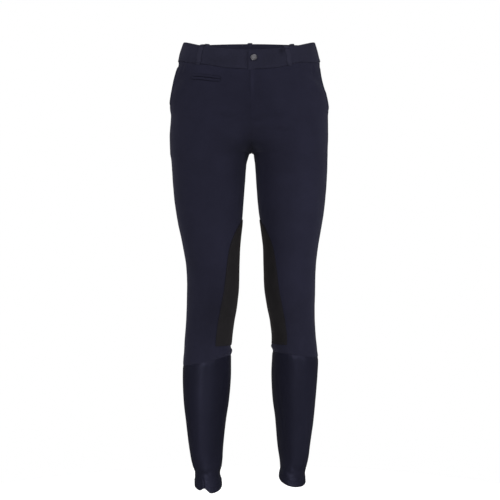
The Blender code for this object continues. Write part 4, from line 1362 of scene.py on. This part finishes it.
def build_pocket(material, inside, painted_shade_cloth, thread):
    """The small pocket: two folded lips, the slit between them and strips beside them painted dark
    as shade.
    """
    first, last = np.array(POCKET_ENDS)
    share = np.linspace(0, 1, 60)
    line = first + (last - first) * share[:, None]
    line[:, 1] += POCKET_BOW * (np.sin(share * math.pi) + np.sin(share * 2 * math.pi))
    along = unit(np.gradient(line, axis=0))
    square = np.stack([-along[:, 1], along[:, 0]], -1)
    square *= np.sign(square[:, 1])[:, None]
    open_by = POCKET_OPEN * (np.sin(share * math.pi) ** 0.7) * (1 + 0.25 * np.sin(share * 11))
    sewn = []
    for name, way, part in (("pocket_welt_upper", 1, 0.86), ("pocket_welt_lower", -1, 0.94)):
        reach = WELT_HEIGHT * part
        centre, across, out = laid(line + square * (way * (open_by + reach / 2))[:, None], square)
        facing = unit(np.cross(unit(np.gradient(centre, axis=0)), across))
        facing *= np.sign((facing * out).sum(-1))[:, None]
        roll = WELT_ROLL[0] * np.sin(share * WELT_ROLL[1] + way) * np.sin(share * math.pi)
        centre = centre + facing * (WELT_STAND + roll)[:, None]
        slim, reach_in = WELT_END
        taper = 1 - slim * bell(share / reach_in) - slim * bell((1 - share) / reach_in)
        piece = strip("cloth_" + name, centre, across, facing, reach * taper, WELT_DEPTH * taper,
                      material, flat=0.7)
        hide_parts(name)
        sewn.append(piece)
    # the slit: a sheet painted dark as the shade inside the pocket
    centre, across, out = laid(line[2:-2], np.array([0.0, 1.0]))
    sewn.append(strip("pocket_slit", centre + out * 0.0001, across, out,
                      SLIT_WIDTH + 1.3 * open_by[2:-2], 0.0006, inside))
    # dark strips of painted shade above and below the lips
    line_in, square_in, open_in, share_in = (v[1:-1] for v in (line, square, open_by, share))
    for name, away, broad in PAINTED_SHADE_STRIPS:
        shade_strip_line = line_in + square_in * (away + np.sign(away) * open_in)[:, None]
        centre, across, out = laid(shade_strip_line, square_in)
        sewn.append(strip("pocket_painted_shade_" + name, centre + out * 0.00005, across, out,
                          broad * (0.35 + 0.65 * np.sin(share_in * math.pi)), 0.0005, painted_shade_cloth))
    for k, (i, beyond) in enumerate(((0, -0.0002), (-1, 0.0002))):
        spots = line[i] + square[i] * np.linspace(-0.0050, 0.0050, 15)[:, None]
        spots[:, 0] += beyond
        points, out = front_place(spots, 0.0009)
        sewn.append(zigzag("pocket_tack_%d" % k, points, out, np.array([1.0, 0.0, 0.0]), thread))
    return sewn


def build_button(material):
    """The turned metal button, on its shank."""
    x, z = BUTTON_PLACE
    t = angle_at(LEFT, x, z)
    place, out = skin(LEFT, t, z), skin_normal(LEFT, t, z)
    side = unit(np.cross(np.array([0.0, 0.0, 1.0]), out))
    up = np.cross(out, side)
    angle = np.linspace(0, 2 * math.pi, 72, endpoint=False)
    rings = []
    for share, height in BUTTON_FACE:
        worn = 1 + 0.004 * np.sin(angle * 3 + 1) * share
        radius = (max(share, 0.002) * BUTTON_RADIUS * worn)[:, None]
        rings.append(place + out * (height * MM + BAND_LIFT + 0.0006)
                     + radius * (np.cos(angle)[:, None] * side + np.sin(angle)[:, None] * up))
    faces = tube_faces(len(rings), len(angle))
    piece = link("metal_button", np.stack(rings), faces, material, sharp=80)
    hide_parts("waist_button")


def zigzag(name, points, out, along, thread):
    """A close row of stitches across a strip."""
    out = np.broadcast_to(out, points.shape)
    way = along * TACK_REACH
    return stitch_mesh(name, points - way, points + way, out, TACK_RADIUS, thread)


def stitch_mesh(name, starts, ends, out, radius, thread):
    """One mesh of short rounded stitches, each sunk at both of its ends."""
    along = ends - starts
    forward = unit(along)
    side = unit(np.cross(forward, out))
    up = np.cross(side, forward)
    angle = np.linspace(0, 2 * math.pi, 6, endpoint=False)
    rings = []
    for share, rise, size in STITCH_RINGS:
        middle = (starts + along * share + up * (rise * radius))[:, None, :]
        c, s = (turn(angle)[:, None] * radius * size for turn in (np.cos, np.sin))
        rings.append(middle + side[:, None, :] * c + up[:, None, :] * s * STITCH_FLATNESS)
    one = tube_faces(len(rings), len(angle))
    count = len(rings) * len(angle)
    faces = [face + count * k for k in range(len(starts)) for face in one]
    return link(name, np.stack(rings, 1), faces, thread)


def stitch_line(name, points, out, thread, sink=0.0):
    """Stitches of one length along a line that lies on the cloth."""
    run = run_along(points)
    pitch = STITCH_LENGTH + STITCH_GAP
    count = max(int(run[-1] / pitch), 1)
    begin = (np.arange(count) + 0.5 * STITCH_GAP / pitch) * run[-1] / count
    end = begin + run[-1] / count - STITCH_GAP

    def along(values, at):
        return np.stack([np.interp(at, run, values[:, k]) for k in range(3)], -1)

    up = unit(along(out, (begin + end) / 2))
    return stitch_mesh(name, along(points, begin) - up * sink, along(points, end) - up * sink, up,
                       STITCH_RADIUS, thread)


# ---------------------------------------------------------------------------------------------
# Materials


def feed(tree, node, inputs):
    """Sets a node's inputs, by name or place, to values or to other nodes' outputs."""
    for key, value in inputs.items():
        if isinstance(value, bpy.types.NodeSocket):
            tree.links.new(value, node.inputs[key])
        else:
            node.inputs[key].default_value = value


def add_node(tree, kind, inputs, output=0, **settings):
    """The output of a new node."""
    node = tree.nodes.new("ShaderNode" + kind)
    for key, value in settings.items():
        setattr(node, key, value)
    feed(tree, node, inputs)
    return node.outputs[output]


def add_ramp(tree, factor, stops):
    """A ramp of colours; stops are (place, colour)."""
    colour = add_node(tree, "ValToRGB", {"Fac": factor})
    elements = colour.node.color_ramp.elements
    while len(elements) < len(stops):
        elements.new(1.0)
    for element, (place, value) in zip(elements, stops):
        element.position = place
        element.color = (*value, 1)
    return colour


def new_material(name):
    material = bpy.data.materials.new(name)
    material.use_nodes = True
    tree = material.node_tree
    return material, tree, tree.nodes["Principled BSDF"]


def fabric(name, colour, roughness, weave=0.0007, weave_depth=0.00006, specular=0.12,
           specular_tint=(1, 1, 1), sheen=0.0, sheen_tint=(0.6, 0.6, 0.8), variation=0.10,
           nap=0.0):
    """Woven or brushed cloth: a diagonal weave, a fine grain and a slow variation of colour."""
    material, tree, shader = new_material(name)
    place = add_node(tree, "UVMap", {}, uv_map="Cloth")
    where = add_node(tree, "TexCoord", {}, "Object")
    ribs = add_node(tree, "TexWave", {"Vector": place, "Scale": RIBS_SCALE / weave,
                                      "Distortion": 1.2, "Detail": 1.0, "Detail Scale": 2.0},
                    "Fac", wave_type="BANDS", bands_direction="DIAGONAL")
    fine = add_node(tree, "TexNoise", {"Vector": where, "Scale": CLOTH_GRAIN, "Detail": 3.0})
    slow = add_node(tree, "TexNoise", {"Vector": where, "Scale": CLOTH_PATCHES, "Detail": 4.0})
    half = add_node(tree, "Math", {0: fine, 1: 0.5}, operation="MULTIPLY")
    mixed = add_node(tree, "Math", {0: slow, 1: 0.5, 2: half}, operation="MULTIPLY_ADD")
    tone = add_ramp(tree, mixed, ((0.32, [c * (1 - variation) for c in colour]),
                                  (0.68, [c * (1 + variation) for c in colour])))
    # the painted light and shade, and wear, laid on a piece's points scale its base colour
    light_shade_and_wear = add_node(tree, "Attribute", {}, "Fac", attribute_name="LightShadeAndWear")
    change = add_node(tree, "Math", {0: light_shade_and_wear, 1: 1.0}, operation="ADD")
    woven = add_node(tree, "Bump", {"Strength": 0.6, "Distance": weave_depth, "Height": ribs})
    feed(tree, shader, {
        "Base Color": add_node(tree, "VectorMath", {0: tone, "Scale": change}, operation="SCALE"),
        "Roughness": add_node(tree, "MapRange", {"Value": fine, "To Min": roughness - 0.05,
                                                 "To Max": min(roughness + 0.05, 1.0)}),
        "Normal": add_node(tree, "Bump", {"Strength": 0.5, "Distance": GRAIN_DEPTH + nap,
                                          "Height": fine, "Normal": woven}),
        "Specular IOR Level": specular, "Specular Tint": (*specular_tint, 1),
        "Sheen Weight": sheen, "Sheen Roughness": 0.4, "Sheen Tint": (*sheen_tint, 1)})
    return material


def plain(name, colour, roughness, metallic=0.0, scale=900.0, specular=0.5):
    """Thread, tape or metal, with a fine grain."""
    material, tree, shader = new_material(name)
    where = add_node(tree, "TexCoord", {}, "Object")
    fine = add_node(tree, "TexNoise", {"Vector": where, "Scale": scale, "Detail": 2.0})
    feed(tree, shader, {
        "Base Color": add_ramp(tree, fine, ((0.0, [c * 0.8 for c in colour]),
                                            (1.0, [c * 1.2 for c in colour]))),
        "Normal": add_node(tree, "Bump", {"Strength": 0.5, "Distance": 0.00003, "Height": fine}),
        "Roughness": roughness, "Metallic": metallic, "Specular IOR Level": specular})
    return material


TWILL = fabric("navy_twill_cloth", (0.0120, 0.0119, 0.0228), 0.85, sheen=0.09)
# the band and the loops are the front's twill painted lighter: painted light where they stand out
# and catch it
BAND_TWILL_PAINTED_LIGHTER = fabric("navy_band_twill_painted_lighter", (0.0144, 0.0143, 0.0253), 0.85, sheen=0.09, variation=0.18)
LOOP_TWILL_PAINTED_LIGHTER = fabric("navy_loop_twill_painted_lighter", (0.0180, 0.0178, 0.0305), 0.85, sheen=0.09, variation=0.12)
SATIN = fabric("navy_satin_cloth", (0.0078, 0.0079, 0.0145), 0.44, weave=0.0005,
               weave_depth=0.00002, specular=0.45, specular_tint=(0.62, 0.62, 1.0), variation=0.06)
SUEDE = fabric("dark_suede_cloth", (0.0114, 0.0106, 0.0116), 0.92, weave_depth=0.00001,
               specular=0.06, sheen=0.06, sheen_tint=(0.8, 0.7, 0.7), variation=0.18, nap=0.00008)
THREAD = plain("navy_thread", (0.0125, 0.0123, 0.0225), 0.75, specular=0.1)
METAL = plain("burnished_metal", (0.27, 0.265, 0.285), 0.38, 1.0, 260.0)
TAPE = plain("zip_tape_cloth", (0.013, 0.013, 0.021), 0.8, specular=0.1)
# painted shade: a dark cloth for the strips along the pocket's lips
PAINTED_SHADE_CLOTH = plain("pocket_painted_shade_cloth", (0.0068, 0.0068, 0.0122), 0.95, specular=0.02)
# painted shade: the darker cloth in the pocket's slit
SLIT_PAINTED_SHADE = plain("pocket_slit_painted_shade", (0.0040, 0.0040, 0.0070), 0.95, specular=0.02)

# ---------------------------------------------------------------------------------------------
# The garment

pieces, sewn = {}, {}
for side, word in WORD.items():
    pieces["front_" + word] = build_panel(side, True, TWILL)
    pieces["back_" + word] = build_panel(side, False, TWILL)
    pieces["patch_" + word], sewn["patch_" + word] = build_patch(side, SUEDE, THREAD)
    pieces["calf_" + word], sewn["calf_" + word] = build_calf(side, SATIN, THREAD)
sewn["centre"] = [build_centre_allowance(TWILL)]
for side, word in WORD.items():
    sewn["mouth_" + word] = [build_mouth_allowance(side, TWILL)]
pieces["band"] = build_band(BAND_TWILL_PAINTED_LIGHTER)
for name, side, top_angle, foot_angle in LOOPS:
    pieces[name], sewn[name] = build_loop(name, side, top_angle, foot_angle, LOOP_TWILL_PAINTED_LIGHTER, THREAD)
pieces["underlap"], pieces["zip_tape"], sewn["fly"], sewn["zip"] = build_fly(
    TWILL, TAPE, METAL, THREAD)
sewn["pocket"] = build_pocket(TWILL, SLIT_PAINTED_SHADE, PAINTED_SHADE_CLOTH, THREAD)
build_button(METAL)

# ---------------------------------------------------------------------------------------------
# Studio

scene = bpy.context.scene
bpy.ops.mesh.primitive_circle_add(vertices=96, radius=0.8, fill_type="NGON",
                                  location=(0, 0, FLOOR_HEIGHT))
floor = bpy.context.object
floor.name = "floor"
pale, tree, shader = new_material("pale_floor")
feed(tree, shader, {"Base Color": (0.86, 0.86, 0.86, 1), "Roughness": 0.9,
                    "Emission Color": (1, 1, 1, 1), "Emission Strength": 0.55})
floor.data.materials.append(pale)
floor.visible_glossy = False

# White behind the garment, and a soft light on it: brighter from behind and from above, and
# weaker in what shines
world = bpy.data.worlds.new("studio")
scene.world = world
world.use_nodes = True
tree = world.node_tree
white = tree.nodes["Background"]
feed(tree, white, {"Color": (1, 1, 1, 1)})
ways = add_node(tree, "TexCoord", {}, "Generated")
split = add_node(tree, "SeparateXYZ", {0: ways}).node.outputs
behind_it = add_node(tree, "Math", {0: split["Y"], 1: 0.5, 2: 0.5}, operation="MULTIPLY_ADD")
grey = add_ramp(tree, behind_it, [(place, (value,) * 3) for place, value in SKY_STOPS])
above = add_node(tree, "MapRange", {"Value": split["Z"], "From Min": -0.5, "From Max": 0.6,
                                    "To Min": 0.5, "To Max": 1.25})
rays = add_node(tree, "LightPath", {}).node.outputs
dimmed = add_node(tree, "Math", {0: rays["Is Glossy Ray"], 1: -0.8, 2: 1.0},
                  operation="MULTIPLY_ADD")
strength = add_node(tree, "Math", {0: above, 1: dimmed}, operation="MULTIPLY")
lit = add_node(tree, "Background", {"Color": grey, "Strength": strength})
either = add_node(tree, "MixShader", {"Fac": rays["Is Camera Ray"], 1: lit, 2: white.outputs[0]})
feed(tree, tree.nodes["World Output"], {"Surface": either})

for name, place, aim, size, power, gloss in SOFTBOXES:
    light = bpy.data.lights.new(name, "AREA")
    light.shape = "RECTANGLE"
    light.size, light.size_y = size
    light.energy = power
    lamp = bpy.data.objects.new(name, light)
    scene.collection.objects.link(lamp)
    lamp.visible_glossy = gloss
    lamp.location = place
    direction = Vector([to - at for to, at in zip((0, 0, aim), place)])
    lamp.rotation_euler = direction.to_track_quat("-Z", "Y").to_euler()

camera = bpy.data.cameras.new("camera")
camera.sensor_width = 36
camera.lens = camera.sensor_width * CAMERA_DISTANCE / PICTURE_WIDTH
view = bpy.data.objects.new("camera", camera)
scene.collection.objects.link(view)
view.location = (0, -CAMERA_DISTANCE, CAMERA_HEIGHT)
view.rotation_euler = (QUARTER, 0, 0)
scene.camera = view
scene.view_settings.view_transform = "Standard"
